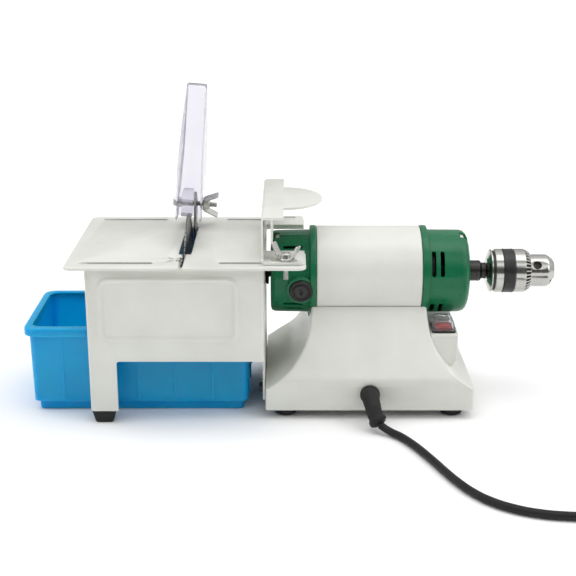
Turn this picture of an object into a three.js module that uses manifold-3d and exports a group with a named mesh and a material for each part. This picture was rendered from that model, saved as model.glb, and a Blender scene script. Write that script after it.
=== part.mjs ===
// Bench trim saw: a pedestal motor with a drill chuck on one end and a sawing cabinet on the other.
// Millimetres. +X runs along the motor shaft towards the chuck, +Y away from the operator, +Z up.
// Z = 0 is the bench top, and X = 0, Y = 0 is the middle of the machine; depths below are measured
// from the shaft, which lies shaftY behind that middle.
import * as THREE from 'three';
import { mergeVertices } from 'three/addons/utils/BufferGeometryUtils.js';
import Module from 'manifold-3d';

const wasm = await Module();
wasm.setup();

// ---------- driving dimensions ----------
const gap = 0.3;

const motorX = 72;
const shaftY = 5;
const axisZ = 122;
const sleeveHalf = 49.2;
const sleeveRadius = 43.3;
const capRadius = 39.6;
const flangeRadius = 43.8;
const leftCapEnd = -92.3;
const rightCapEnd = 94.7;
const shaftRadius = 6;

const baseHalfX = 97;
const baseHalfY = 74;
const baseBottom = 8;
const baseWall = 4;
const footX = 78;
const footY = 57;

const table = { left: -203, right: 12, front: -94, back: 84, top: 153, thick: 2.5 };
const notch = { left: -24.8, half: 46 };
const slotWidth = 5.4;
const frontSlotY = -77;
const backSlotY = 75;

const cabinet = { left: -186, right: -25.5, front: -84, back: 82, sheet: 2, panelBottom: 61 };
const legWidth = 23;
const legDepth = 20;
const cabinetFootTop = 11.7;

const bladeX = -99;
const bladeRadius = 55;
const bladeThick = 1.2;
const opening = { left: -104, right: -92.5, front: -50, back: 48 };
const kerf = { left: -101, right: -97 };

const pivot = { x: -94, y: 50, z: 176 };
const guardLean = THREE.MathUtils.degToRad(5);
const hoodLeft = -19.6;
const hoodRight = 6;
const hoodWall = 1.6;

const fence = { left: -28, lip: -17.5, right: -8, front: -80, back: 74, top: 195, sheet: 2 };
const fenceScrewX = -6;
const discReach = 36;
const discHalf = 41;
const discY = -3;

const tank = { left: -250, right: -36, front: -60, back: 56, rim: 84, lip: 8, wall: 2.2 };

const switchX = 142;
const switchY = -35.5;
const podTop = 75.5;

const cordRadius = 3.5;
const coilX = 306;
const coilY = -215;
const coilInner = 31.5;
const coilOuter = 45.5;
const coilHeight = 21;

// ---------- materials ----------
const finish = (color, roughness, metalness = 0, opacity = 1) => new THREE.MeshStandardMaterial({
  color,
  roughness,
  metalness,
  opacity,
  transparent: opacity < 1,
});
const white = finish(0xdedfd6, 0.45, 0.1);
const green = finish(0x1f6e4b, 0.4, 0.1);
const blue = finish(0x2a8fcf, 0.35);
const clear = finish(0xe4e4ee, 0.15, 0, 0.35);
const rubber = finish(0x181818, 0.8);
const steel = finish(0x9b9c9a, 0.35, 0.9);
const chrome = finish(0xc9cacc, 0.15, 1);
const blackened = finish(0x202124, 0.4, 0.8);
const blackPlastic = finish(0x1c1c1e, 0.5);
const greyPlastic = finish(0x3c3234, 0.55);
const red = finish(0xb3171c, 0.35);
const copper = finish(0xb06a3a, 0.4, 0.9);
const laminations = finish(0x6d6f70, 0.5, 0.7);
const carbon = finish(0x2a2a2a, 0.7);

// ---------- solids ----------
// Each primitive is a closed BufferGeometry; solidOf makes it a body that can be joined and cut.
const axisBasis = {
  x: [new THREE.Vector3(0, 1, 0), new THREE.Vector3(0, 0, 1), new THREE.Vector3(1, 0, 0)],
  y: [new THREE.Vector3(1, 0, 0), new THREE.Vector3(0, 0, 1), new THREE.Vector3(0, -1, 0)],
  z: [new THREE.Vector3(1, 0, 0), new THREE.Vector3(0, 1, 0), new THREE.Vector3(0, 0, 1)],
};

function solidOf(geometry) {
  const bare = new THREE.BufferGeometry();
  bare.setAttribute('position', geometry.getAttribute('position').clone());
  if (geometry.index) bare.setIndex(geometry.index.clone());
  const merged = mergeVertices(bare, 1e-4);
  const corner = new THREE.Vector3();
  const place = (index) => corner.fromBufferAttribute(merged.attributes.position, index).clone();
  const triangles = [];
  let volume = 0;
  for (let i = 0; i < merged.index.count; i += 3) {
    const [a, b, c] = [0, 1, 2].map((k) => merged.index.getX(i + k));
    if (a === b || b === c || c === a) continue;
    triangles.push(a, b, c);
    volume += place(a).dot(place(b).cross(place(c)));
  }
  if (volume < 0) triangles.reverse();
  return new wasm.Manifold(new wasm.Mesh({
    numProp: 3,
    vertProperties: new Float32Array(merged.attributes.position.array),
    triVerts: new Uint32Array(triangles),
  }));
}

const asSolid = (item) => (item.isBufferGeometry ? solidOf(item) : item);
const join = (first, ...rest) => rest.reduce((body, item) => body.add(asSolid(item)), asSolid(first));
const cut = (first, ...rest) => rest.reduce((body, item) => body.subtract(asSolid(item)), asSolid(first));

function box(x0, x1, y0, y1, z0, z1) {
  return new THREE.BoxGeometry(x1 - x0, y1 - y0, z1 - z0)
    .translate((x0 + x1) / 2, (y0 + y1) / 2, (z0 + z1) / 2);
}

// An outline grown along an axis: along x it is drawn in (y, z), along y in (x, z), along z in (x, y).
function prism(outline, from, to, along = 'z', curveSegments = 2) {
  const geometry = new THREE.ExtrudeGeometry(outline, {
    depth: to - from,
    bevelEnabled: false,
    curveSegments,
  });
  geometry.translate(0, 0, along === 'y' ? -to : from);
  return geometry.applyMatrix4(new THREE.Matrix4().makeBasis(...axisBasis[along]));
}

const polygon = (points) => new THREE.Shape(points.map(([a, b]) => new THREE.Vector2(a, b)));

function roundedRect(a0, a1, b0, b1, radius) {
  const shape = new THREE.Shape();
  shape.absarc(a1 - radius, b0 + radius, radius, -Math.PI / 2, 0);
  shape.absarc(a1 - radius, b1 - radius, radius, 0, Math.PI / 2);
  shape.absarc(a0 + radius, b1 - radius, radius, Math.PI / 2, Math.PI);
  shape.absarc(a0 + radius, b0 + radius, radius, Math.PI, Math.PI * 1.5);
  shape.closePath();
  return shape;
}

const slot = (a0, a1, b, width) => roundedRect(a0, a1, b - width / 2, b + width / 2, width / 2 - 0.01);

// A profile of [position, radius] turned about an axis through the origin.
function turned(profile, along = 'x', segments = 20) {
  const points = profile.map(([position, radius]) => new THREE.Vector2(radius, position));
  if (profile[0][1] > 0) points.push(points[0].clone());
  const geometry = new THREE.LatheGeometry(points, segments);
  if (along === 'x') geometry.rotateZ(-Math.PI / 2);
  if (along === 'z') geometry.rotateX(Math.PI / 2);
  return geometry;
}

const rod = (from, to, radius, along = 'x', segments = 12) => turned(
  [[from, 0], [from, radius], [to, radius], [to, 0]],
  along,
  segments,
);

// Part of a tube about X; angles are measured at the front, downwards from the horizontal.
function sector(from, to, inner, outer, startDegrees, endDegrees, side = -1) {
  const start = THREE.MathUtils.degToRad(startDegrees);
  const end = THREE.MathUtils.degToRad(endDegrees);
  const steps = 2;
  const arc = (radius, a) => [side * radius * Math.cos(a), -radius * Math.sin(a)];
  const angles = Array.from({ length: steps + 1 }, (_, i) => start + ((end - start) * i) / steps);
  const outline = [...angles.map((a) => arc(outer, a)), ...angles.reverse().map((a) => arc(inner, a))];
  return prism(polygon(outline), from, to, 'x');
}

// Rounded rectangles stacked up Z and skinned, closed at both ends.
function loft(levels, corner, steps = 2) {
  const rings = levels.map(({ x0, x1, y0, y1, z }) => roundedRect(x0, x1, y0, y1, corner)
    .getPoints(steps)
    .map((p) => [p.x, p.y, z]));
  const around = rings[0].length;
  const positions = rings.flat(2);
  const index = [];
  for (let level = 0; level < rings.length - 1; level += 1) {
    for (let i = 0; i < around; i += 1) {
      const a = level * around + i;
      const b = level * around + ((i + 1) % around);
      index.push(a, b, b + around, a, b + around, a + around);
    }
  }
  const last = (rings.length - 1) * around;
  for (let i = 1; i < around - 1; i += 1) {
    index.push(0, i + 1, i, last, last + i, last + i + 1);
  }
  const geometry = new THREE.BufferGeometry();
  geometry.setAttribute('position', new THREE.Float32BufferAttribute(positions, 3));
  geometry.setIndex(index);
  return geometry;
}

const level = (z, halfX, halfY, x = 0, y = 0) => ({
  x0: x - halfX,
  x1: x + halfX,
  y0: y - halfY,
  y1: y + halfY,
  z,
});

const saw = new THREE.Group();
saw.name = 'trim_saw';
const machine = new THREE.Group();
machine.position.y = shaftY;
saw.add(machine);

function group(x, y, z) {
  const made = new THREE.Group();
  made.position.set(x, y, z);
  machine.add(made);
  return made;
}

function piece(name, body, material, parent = machine) {
  const { vertProperties, triVerts } = asSolid(body).getMesh();
  const geometry = new THREE.BufferGeometry();
  geometry.setAttribute('position', new THREE.BufferAttribute(new Float32Array(vertProperties), 3));
  geometry.setIndex(new THREE.BufferAttribute(new Uint32Array(triVerts), 1));
  geometry.computeVertexNormals();
  const mesh = new THREE.Mesh(geometry, material);
  mesh.name = name;
  parent.add(mesh);
  return mesh;
}

// ---------- pedestal base ----------
// Each step of the casting is [height, half width, half depth]; the ends sweep in
// above the skirt, and the front and back lean in flat.
const baseSteps = [
  [baseBottom, baseHalfX, baseHalfY],
  [29, baseHalfX, baseHalfY],
  [35, 88, 70.7],
  [46, 74, 64.7],
  [56, 66, 59.2],
  [67, 60, 53.2],
  [78, 56.5, 47.2],
  [92, 54.5, 39.6],
  [104, 54, 33],
];
const hollowSteps = baseSteps.slice(0, 6).map(([z, halfX, halfY], i) => [
  i === 0 ? z - 2 : z - 2 * Math.min(i, 2),
  halfX - baseWall,
  halfY - baseWall,
]);
hollowSteps.push([73, 52, 41]);
const baseCorner = 4;
const baseOuter = loft(baseSteps.map(([z, x, y]) => level(z, x, y)), baseCorner);
const baseHollow = loft(hollowSteps.map(([z, x, y]) => level(z, x, y)), baseCorner / 2);

const base = group(motorX, 0, 0);
const podX = switchX - motorX;
const pod = prism(
  polygon([[48, podTop], [83, podTop], [83, 50], [75, 44], [48, 44]]),
  -52,
  15,
  'y',
);
const switchPocket = box(podX - 9.5, podX + 9.5, switchY - 12, switchY + 12, 50, podTop + 1);
const wirePassage = box(45, podX, switchY - 8, switchY + 8, 54, 66);
const sideScrewY = 50;
const sideScrewZ = 22;
const sideHoles = [-1, 1].map((side) => rod(-baseHalfX - 1, -baseHalfX + 6, 3)
  .translate(0, side * sideScrewY, sideScrewZ));
const reliefZ = 25;
piece('base_casting', cut(
  join(baseOuter, pod),
  baseHollow,
  rod(-60, 60, flangeRadius + gap, 'x', 32).translate(0, 0, axisZ),
  switchPocket,
  wirePassage,
  rod(-baseHalfY - 1, -baseHalfY + 6, 6.5, 'y').translate(0, 0, reliefZ),
  ...sideHoles,
), white, base);

piece('base_plate', loft([
  level(8.5, baseHalfX - baseWall - gap, baseHalfY - baseWall - gap),
  level(10.5, baseHalfX - baseWall - gap, baseHalfY - baseWall - gap),
], 1.8), steel, base);

const footPlaces = [
  ['front_left', -1, -1],
  ['front_right', 1, -1],
  ['back_left', -1, 1],
  ['back_right', 1, 1],
];
for (const [name, sideX, sideY] of footPlaces) {
  const foot = turned([[0, 0], [0, 9.5], [1.2, 10.6], [6, 11], [8.2, 11], [8.2, 0]], 'z', 16);
  piece(`foot_${name}`, foot, rubber, base).position.set(sideX * footX, sideY * footY, 0);
}

piece('capacitor', turned([[-26, 0], [-26, 14], [-25, 15], [25, 15], [26, 14], [26, 0]]), steel, base)
  .position.set(0, 10, 48);

// ---------- motor housing ----------
const motor = group(motorX, 0, axisZ);
piece('motor_sleeve', turned([
  [-sleeveHalf, sleeveRadius - 2.7],
  [-sleeveHalf, sleeveRadius],
  [sleeveHalf, sleeveRadius],
  [sleeveHalf, sleeveRadius - 2.7],
], 'x', 28), white, motor);

const poleGap = box(-30, 30, -9, 9, -33, 33);
piece('stator_core', cut(
  turned([[-25, 27], [-25, 40.3], [25, 40.3], [25, 27]], 'x', 24),
  poleGap,
), laminations, motor);

const screwAngle = THREE.MathUtils.degToRad(75);
const screwRing = 35.5;
const screwPlaces = [1, -1].map((side) => [
  -side * screwRing * Math.cos(screwAngle),
  side * screwRing * Math.sin(screwAngle),
]);
const screwBosses = (from, to, radius) => screwPlaces.map(([y, z]) => rod(from, to, radius, 'x', 8)
  .translate(0, y, z));

const brushX = -64;
const brushAngle = THREE.MathUtils.degToRad(10);
// Something on the line of the brushes: made along Y and turned about the shaft.
const alongBrush = (geometry) => geometry.translate(brushX, 0, 0).rotateX(brushAngle);

const leftCapShell = turned([
  [-sleeveHalf - gap, 36.9],
  [-sleeveHalf - gap, flangeRadius],
  [-55.3, flangeRadius],
  [-55.3, capRadius],
  [-84, 39],
  [leftCapEnd, 31],
  [leftCapEnd, 7],
  [-89.8, 7],
  [-89.8, 14.3],
  [-79.5, 14.3],
  [-79.5, 17],
  [-89.3, 17],
  [-89.3, 29],
  [-82, 36.6],
], 'x', 28);
const brushBosses = [-1, 1].flatMap((side) => [
  alongBrush(rod(Math.min(side * 31, side * 42), Math.max(side * 31, side * 42), 13.8, 'y', 16)),
]);
const brushBores = [-1, 1].flatMap((side) => [
  alongBrush(rod(Math.min(side * 25, side * 46), Math.max(side * 25, side * 46), 6.2, 'y', 12)),
  alongBrush(rod(Math.min(side * 38, side * 46), Math.max(side * 38, side * 46), 11.1, 'y', 16)),
]);
const leftVents = [-1, 1].flatMap((side) => [[33.5, 38.5], [46, 51], [-54, -48]]
  .map(([from, to]) => sector(-81, -62, 30, 48, from, to, side)));
// Room for each screw's head: a round pocket that runs out through the edge of the cap.
const screwPockets = (from, to) => screwPlaces.flatMap(([y, z]) => [
  rod(from, to, 4.6, 'x', 8).translate(0, y, z),
  box(from, to, y - 4.6, y + 4.6, Math.min(z, z * 1.4), Math.max(z, z * 1.4)),
]);
piece('end_cap_left', cut(
  join(leftCapShell, ...brushBosses, ...screwBosses(-84, -sleeveHalf - gap, 4.2)),
  ...brushBores,
  ...leftVents,
  ...screwPockets(-98, -84),
  ...screwBosses(-90, -40, 2.2),
), green, motor);

const rightCapShell = turned([
  [sleeveHalf + gap, 36.9],
  [84, 36.5],
  [91.7, 29],
  [91.7, 17],
  [79.5, 17],
  [79.5, 14.3],
  [92.2, 14.3],
  [92.2, 10.6],
  [rightCapEnd, 10.6],
  [rightCapEnd, 22],
  [92.6, 33.5],
  [87, 38.6],
  [55.3, capRadius],
  [55.3, flangeRadius],
  [sleeveHalf + gap, flangeRadius],
], 'x', 28);
const rightVents = [-1, 1].flatMap((side) => [[58, 62], [66, 70]].flatMap(([from, to]) => [
  sector(from, to, 30, 48, -44, -8, side),
  sector(from, to, 30, 48, 36, 64, side),
]));
piece('end_cap_right', cut(
  join(rightCapShell, ...screwBosses(sleeveHalf + gap, 86, 4.2)),
  ...rightVents,
  ...screwPockets(86, 98),
  ...screwBosses(40, 92, 2.2),
), green, motor);

// Cap screws: the head faces outwards, and the shank runs inwards along -X from it.
const capScrew = cut(
  turned([[-30, 0], [-30, 1.9], [0, 1.9], [0, 3.8], [2.6, 3.8], [3.4, 2.8], [3.4, 0]], 'x', 12),
  box(2.2, 4, -0.5, 0.5, -5, 5),
);
screwPlaces.forEach(([y, z], i) => {
  const right = piece(`cap_screw_right_${i + 1}`, capScrew, steel, motor);
  right.position.set(86 + gap, y, z);
  const left = piece(`cap_screw_left_${i + 1}`, capScrew, steel, motor);
  left.position.set(-84 - gap, y, z);
  left.rotation.y = Math.PI;
});

const bearing = turned([[-4.6, shaftRadius + gap], [-4.6, 14], [4.6, 14], [4.6, shaftRadius + gap]]);
piece('bearing_left', bearing, steel, motor).position.x = -84.6;
piece('bearing_right', bearing, steel, motor).position.x = 85.5;

for (const [name, side] of [['front', -1], ['back', 1]]) {
  const holder = new THREE.Group();
  holder.position.x = brushX;
  holder.rotation.x = side < 0 ? brushAngle : brushAngle + Math.PI;
  motor.add(holder);
  piece(`brush_${name}`, box(-3.5, 3.5, -37, -14.5, -3.5, 3.5), carbon, holder);
  piece(`brush_cap_${name}`, cut(
    turned([[-44.6, 0], [-44.6, 9.4], [-43.6, 10.8], [-38.3, 10.8], [-38.3, 0]], 'y', 24),
    box(-7, 7, -46, -43.2, -0.9, 0.9),
  ), greyPlastic, holder);
}

// ---------- spindle ----------
const spindle = group(motorX, 0, axisZ);
const bladeLocal = bladeX - motorX;
piece('shaft', turned([
  [-192, 0],
  [-192, 4.2],
  [-191, 5],
  [-177.2, 5],
  [-177.2, shaftRadius],
  [91, shaftRadius],
  [91, 9.9],
  [108.6, 9.9],
  [108.6, 7.7],
  [113.6, 7.7],
  [113.6, 5.5],
  [126, 5],
  [126, 0],
], 'x', 20), blackened, spindle);

const rotorSlots = Array.from({ length: 12 }, (_, i) => box(-30, 30, -1.1, 1.1, 20, 30)
  .rotateX((i * Math.PI) / 6));
piece('rotor_core', cut(
  turned([[-26, shaftRadius + gap], [-26, 26], [26, 26], [26, shaftRadius + gap]], 'x', 24),
  ...rotorSlots,
), laminations, spindle);
piece('commutator', turned([
  [-74, shaftRadius + gap],
  [-74, 14.1],
  [-54, 14.1],
  [-54, shaftRadius + gap],
], 'x', 24), copper, spindle);

const fanBlade = (angle) => box(61.5, 74, -0.8, 0.8, 14, 30).rotateX(angle);
piece('cooling_fan', cut(join(
  turned([[59.5, 0], [59.5, 30.4], [62, 30.4], [62, 15], [74, 15], [74, 0]], 'x', 24),
  ...Array.from({ length: 8 }, (_, i) => fanBlade((i * Math.PI) / 4)),
), rod(50, 80, shaftRadius + gap, 'x', 36)), blackPlastic, spindle);

piece('shaft_slinger', turned([
  [-97.2, shaftRadius + gap],
  [-97.2, 11.5],
  [-96.4, 13],
  [-94.4, 13],
  [-94.4, shaftRadius + gap],
], 'x', 24), rubber, spindle);

const sawTeeth = 16;
const bladeOutline = new THREE.Shape();
for (let i = 0; i < sawTeeth; i += 1) {
  const start = (i / sawTeeth) * Math.PI * 2;
  const step = (Math.PI * 2) / sawTeeth;
  bladeOutline.absarc(0, 0, bladeRadius, start, start + step * 0.86);
  bladeOutline.absarc(0, 0, bladeRadius - 2.2, start + step * 0.9, start + step * 0.96);
}
bladeOutline.closePath();
piece('saw_blade', cut(
  prism(bladeOutline, bladeLocal - bladeThick / 2, bladeLocal + bladeThick / 2, 'x', 1),
  rod(bladeLocal - 2, bladeLocal + 2, shaftRadius + gap, 'x', 36),
), steel, spindle);

const flangeIn = bladeLocal + bladeThick / 2 + gap;
piece('flange_inner', turned([
  [flangeIn, shaftRadius + gap],
  [flangeIn, 18],
  [flangeIn + 2.5, 18],
  [flangeIn + 6, 12],
  [flangeIn + 6, shaftRadius + gap],
], 'x', 24), steel, spindle);
const flangeOut = bladeLocal - bladeThick / 2 - gap;
piece('flange_outer', turned([
  [flangeOut - 5.5, shaftRadius + gap],
  [flangeOut - 5.5, 12],
  [flangeOut - 2.5, 18],
  [flangeOut, 18],
  [flangeOut, shaftRadius + gap],
], 'x', 24), steel, spindle);
const arborNut = turned([[-7, 0], [-7, 8.6], [-6, 9.8], [0, 9.8], [0, 0]], 'x', 6);
piece('arbor_nut', cut(arborNut, rod(-9, 1, 5 + gap)), steel, spindle)
  .position.x = flangeOut - 5.5 - gap;

// ---------- drill chuck ----------
const keyAngles = [36, 156, 276].map(THREE.MathUtils.degToRad);
const jawAngles = [84, 204, 324].map(THREE.MathUtils.degToRad);
const aroundShaft = (geometry, angle) => geometry.rotateX(-angle);
const noseStart = 156.8;
const chuckEnd = 178;
piece('chuck_body', cut(
  turned([
    [113.9, 0],
    [113.9, 12],
    [117.2, 20.6],
    [118.7, 20.6],
    [118.7, 15],
    [noseStart - 4, 15],
    [noseStart - 2, 15.6],
    [171.6, 15.6],
    [chuckEnd, 11.6],
    [chuckEnd, 0],
  ], 'x', 24),
  rod(112, 128, 5.9, 'x', 24),
  rod(140, 180, 5, 'x', 24),
  ...jawAngles.map((angle) => aroundShaft(box(140, 180, -14.2, 0, -3, 3), angle)),
  ...keyAngles.map((angle) => aroundShaft(rod(-20, -9, 4.1, 'y', 12).translate(161, 0, 0), angle)),
), chrome, spindle);

const sleeveGroup = new THREE.Group();
spindle.add(sleeveGroup);
const gearTooth = (angle) => box(noseStart - 3.4, noseStart + 1, -24, -14, -0.9, 0.9).rotateX(angle);
piece('chuck_sleeve', cut(
  turned([
    [121, 15.3],
    [121, 20.2],
    [122, 21],
    [128.6, 21],
    [128.6, 19.6],
    [139.7, 19.6],
    [139.7, 21],
    [153, 21],
    [noseStart - 0.4, 18.6],
    [noseStart - 0.4, 16],
    [152.4, 15.3],
  ], 'x', 24),
  ...Array.from({ length: 14 }, (_, i) => gearTooth((i * Math.PI) / 7)),
), chrome, sleeveGroup);
piece('chuck_band', turned([
  [128.9, 19.9],
  [128.9, 20.9],
  [129.5, 21.3],
  [138.8, 21.3],
  [139.4, 20.9],
  [139.4, 19.9],
], 'x', 24), blackPlastic, sleeveGroup);

jawAngles.forEach((angle, i) => {
  const jaw = new THREE.Group();
  jaw.rotation.x = -angle;
  spindle.add(jaw);
  const side = polygon([
    [-8.6, -2.6],
    [-4.2, -2.6],
    [-1.9, -0.9],
    [-1.9, 0.9],
    [-4.2, 2.6],
    [-8.6, 2.6],
  ]);
  piece(`chuck_jaw_${i + 1}`, prism(side, 142, chuckEnd - 0.5, 'x'), blackened, jaw);
});

// ---------- sawing cabinet ----------
const { sheet } = cabinet;
const cabinetTop = table.top - table.thick - gap;
const wallLeft = cabinet.right - sheet;
const legBottom = cabinetFootTop + gap;
// The depths that a left leg spans, at the front for side -1 and at the back for side 1.
function legSpan(side) {
  const outer = side < 0 ? cabinet.front : cabinet.back;
  const inner = outer - side * legDepth;
  return [Math.min(outer, inner), Math.max(outer, inner)];
}
const legs = [-1, 1].flatMap((side) => [
  box(cabinet.left, cabinet.left + sheet, ...legSpan(side), legBottom, cabinetTop),
  box(cabinet.left, cabinet.left + legWidth, ...legSpan(side), legBottom, legBottom + sheet),
]);
const facePanel = (y) => prism(
  polygon([
    [cabinet.left, legBottom],
    [cabinet.left + legWidth, legBottom],
    [cabinet.left + legWidth, cabinet.panelBottom - 6],
    [cabinet.left + legWidth + 6, cabinet.panelBottom],
    [cabinet.right, cabinet.panelBottom],
    [cabinet.right, cabinetTop],
    [cabinet.left, cabinetTop],
  ]),
  y,
  y + sheet,
  'y',
);
const embossFrame = (grow) => prism(
  roundedRect(-174 + grow, -49 - grow, 81 + grow, 140 - grow, 9 - grow),
  cabinet.front - 0.9,
  cabinet.front + 0.5,
  'y',
);
const throughWall = [wallLeft - 5, cabinet.right + 5];
const wallHole = (radius, y, z) => rod(...throughWall, radius).translate(0, y, z);
// Room for the fence's screws, which pass over the right wall as the fence slides.
const screwWay = (y) => box(...throughWall, y - 5, y + 5, 133, table.top);
piece('cabinet', cut(
  join(
    facePanel(cabinet.front),
    facePanel(cabinet.back - sheet),
    ...legs,
    box(cabinet.left, cabinet.left + sheet, cabinet.front, cabinet.back, 92, cabinetTop),
    box(wallLeft, cabinet.right, cabinet.front, cabinet.back, cabinet.panelBottom, cabinetTop),
    box(wallLeft, cabinet.right, -62, 62, 14, cabinet.panelBottom + 1),
    cut(embossFrame(0), embossFrame(3)),
  ),
  wallHole(9, 0, axisZ),
  wallHole(3, -sideScrewY, sideScrewZ),
  wallHole(3, sideScrewY, sideScrewZ),
  screwWay(frontSlotY),
  screwWay(backSlotY),
), white);

// A pan-head screw with a cross recess, its shank along -X.
const sideScrew = cut(
  turned([
    [-14, 0],
    [-14, 2.6],
    [-gap, 2.6],
    [0, 5.2],
    [2.6, 5.2],
    [3.4, 4],
    [3.4, 0],
  ], 'x', 24),
  box(2, 4, -0.6, 0.6, -3, 3),
  box(2, 4, -3, 3, -0.6, 0.6),
);
for (const [name, side] of [['front', -1], ['back', 1]]) {
  const [y0, y1] = legSpan(side);
  piece(`cabinet_foot_${name}`, loft([
    level(0, 8.5, 7.5),
    level(cabinetFootTop, legWidth / 2 - 0.5, legDepth / 2 - 0.5),
  ], 3), rubber).position.set(cabinet.left + legWidth / 2, (y0 + y1) / 2, 0);
  const placed = piece(`side_screw_${name}`, sideScrew, blackened);
  placed.position.set(wallLeft - gap, side * sideScrewY, sideScrewZ);
  placed.rotation.y = Math.PI;
}

// ---------- table ----------
const tableOutline = new THREE.Shape();
const cornerRadius = 7;
const right = Math.PI / 2;
const corner = (x, y, radius, start) => tableOutline.absarc(x, y, radius, start, start + right);
tableOutline.moveTo(kerf.left, table.front);
tableOutline.lineTo(kerf.left, opening.front);
tableOutline.lineTo(opening.left, opening.front);
tableOutline.lineTo(opening.left, opening.back);
tableOutline.lineTo(opening.right, opening.back);
tableOutline.lineTo(opening.right, opening.front);
tableOutline.lineTo(kerf.right, opening.front);
tableOutline.lineTo(kerf.right, table.front);
corner(table.right - cornerRadius, table.front + cornerRadius, cornerRadius, -right);
tableOutline.lineTo(table.right, -notch.half);
tableOutline.lineTo(notch.left + 3, -notch.half);
tableOutline.lineTo(notch.left, -notch.half + 3);
tableOutline.lineTo(notch.left, notch.half - 3);
tableOutline.lineTo(notch.left + 3, notch.half);
tableOutline.lineTo(table.right, notch.half);
corner(table.right - cornerRadius, table.back - cornerRadius, cornerRadius, 0);
corner(table.left + cornerRadius, table.back - cornerRadius, cornerRadius, right);
corner(table.left + cornerRadius, table.front + cornerRadius, cornerRadius, 2 * right);
tableOutline.closePath();
for (const y of [frontSlotY, backSlotY]) {
  tableOutline.holes.push(slot(-190, -125, y, slotWidth));
  tableOutline.holes.push(slot(-66, 4, y, slotWidth));
}
const drainX = -110;
const drainY = -66;
const drains = [-1, 1].flatMap((sideX) => [-1, 1].map((sideY) => {
  const hole = prism(slot(-3.2, 3.2, 0, 2), table.top - 5, table.top + 1, 'z', 1);
  return hole
    .rotateZ(sideX * sideY * Math.PI / 4)
    .translate(drainX + sideX * 3.6, drainY + sideY * 4, 0);
}));
piece('table', cut(prism(tableOutline, table.top - table.thick, table.top), ...drains), white);

// ---------- blade guard ----------
const carrierX = [pivot.x - 2, pivot.x];
const carrierSide = new THREE.Shape();
carrierSide.moveTo(46.5, 144);
carrierSide.lineTo(46.5, 156);
carrierSide.lineTo(pivot.y + 11.5, 164);
carrierSide.absarc(pivot.y, pivot.z, 11.5, 0, Math.PI * 0.8);
carrierSide.lineTo(33, 162);
carrierSide.lineTo(33, 144);
carrierSide.closePath();
piece('guard_carrier', cut(
  join(
    prism(carrierSide, ...carrierX, 'x', 4),
    box(carrierX[0], carrierX[1] + 14, 33, 46.5, 148.2, table.top - table.thick - gap),
  ),
  rod(carrierX[0] - 1, carrierX[1] + 1, 3.2).translate(0, pivot.y, pivot.z),
), steel);

const guard = group(pivot.x, pivot.y, pivot.z);
guard.rotation.y = guardLean;
const hoodLength = 119;
const hoodTaper = (geometry) => {
  const { position } = geometry.attributes;
  const middle = (hoodLeft + hoodRight) / 2;
  for (let i = 0; i < position.count; i += 1) {
    const shrink = 1 - 0.254 * (Math.max(0, position.getZ(i)) / hoodLength) ** 1.6;
    position.setX(i, middle + (position.getX(i) - middle) * shrink);
  }
  return geometry;
};
// The hood's side view, a leaf with its open edge at the front while it is raised.
const hoodBack = [[15, -17], [24, 8], [33, 36], [31, 58], [19, 86], [6, 110], [-1, 118]];
const hoodFront = [[-9, 117], [-23, 88], [-34, 56], [-33, 40], [-24, 18], [-16, 0], [-12, -16]];
function hoodSide(inset) {
  const shape = new THREE.Shape();
  const open = inset > 0 ? 14 : 0;
  const back = hoodBack.map(([y, z]) => new THREE.Vector2(y - inset, z - inset * 0.6));
  const front = hoodFront.map(([y, z]) => new THREE.Vector2(y - open, z - inset * 0.6));
  shape.moveTo(back[0].x, back[0].y - open);
  shape.lineTo(back[0].x, back[0].y);
  shape.splineThru(back.slice(1));
  shape.lineTo(front[0].x, front[0].y);
  shape.splineThru(front.slice(1));
  shape.lineTo(front[6].x, front[6].y - open);
  shape.closePath();
  return shape;
}
const hoodOuter = hoodTaper(prism(hoodSide(0), hoodLeft, hoodRight, 'x', 2));
const hoodInner = hoodTaper(prism(hoodSide(hoodWall), hoodLeft + hoodWall, hoodRight - hoodWall, 'x', 2));
piece('guard_hood', cut(
  solidOf(hoodOuter),
  hoodInner,
  rod(hoodLeft - 2, hoodRight + 2, 2.9, 'x', 24),
), clear, guard);

piece('guard_bolt', cut(
  turned([
    [hoodLeft - 3.5, 0],
    [hoodLeft - 3.5, 3.6],
    [hoodLeft - 2.6, 4.6],
    [hoodLeft - gap, 4.6],
    [hoodLeft - gap, 2.4],
    [19, 2.4],
    [20, 1.8],
    [20, 0],
  ], 'x', 24),
  box(hoodLeft - 5, hoodLeft - 2.4, -0.5, 0.5, -6, 6),
), steel, guard);

// A wing nut on the X axis, seated at x = 0, with its wings in the XY plane.
function wingNut(bore) {
  const wing = (side) => prism(polygon([
    [1.2, side * 3],
    [1.2, side * 5.6],
    [4.6, side * 8.6],
    [14, side * 14.4],
    [15, side * 12.6],
    [6.4, side * 6.8],
    [6.2, side * 3],
  ]), -3.6, 3.6, 'z', 4);
  return cut(
    join(turned([[0, 0], [0, 5.6], [1, 6], [5, 5.2], [6.8, 4.4], [6.8, 0]], 'x', 12), wing(1), wing(-1)),
    rod(-1, 9, bore + gap, 'x', 20),
  );
}
const guardNut = piece('guard_wing_nut', wingNut(2.4), chrome, guard);
guardNut.position.x = hoodRight + gap;
guardNut.rotation.x = THREE.MathUtils.degToRad(-60);

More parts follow.
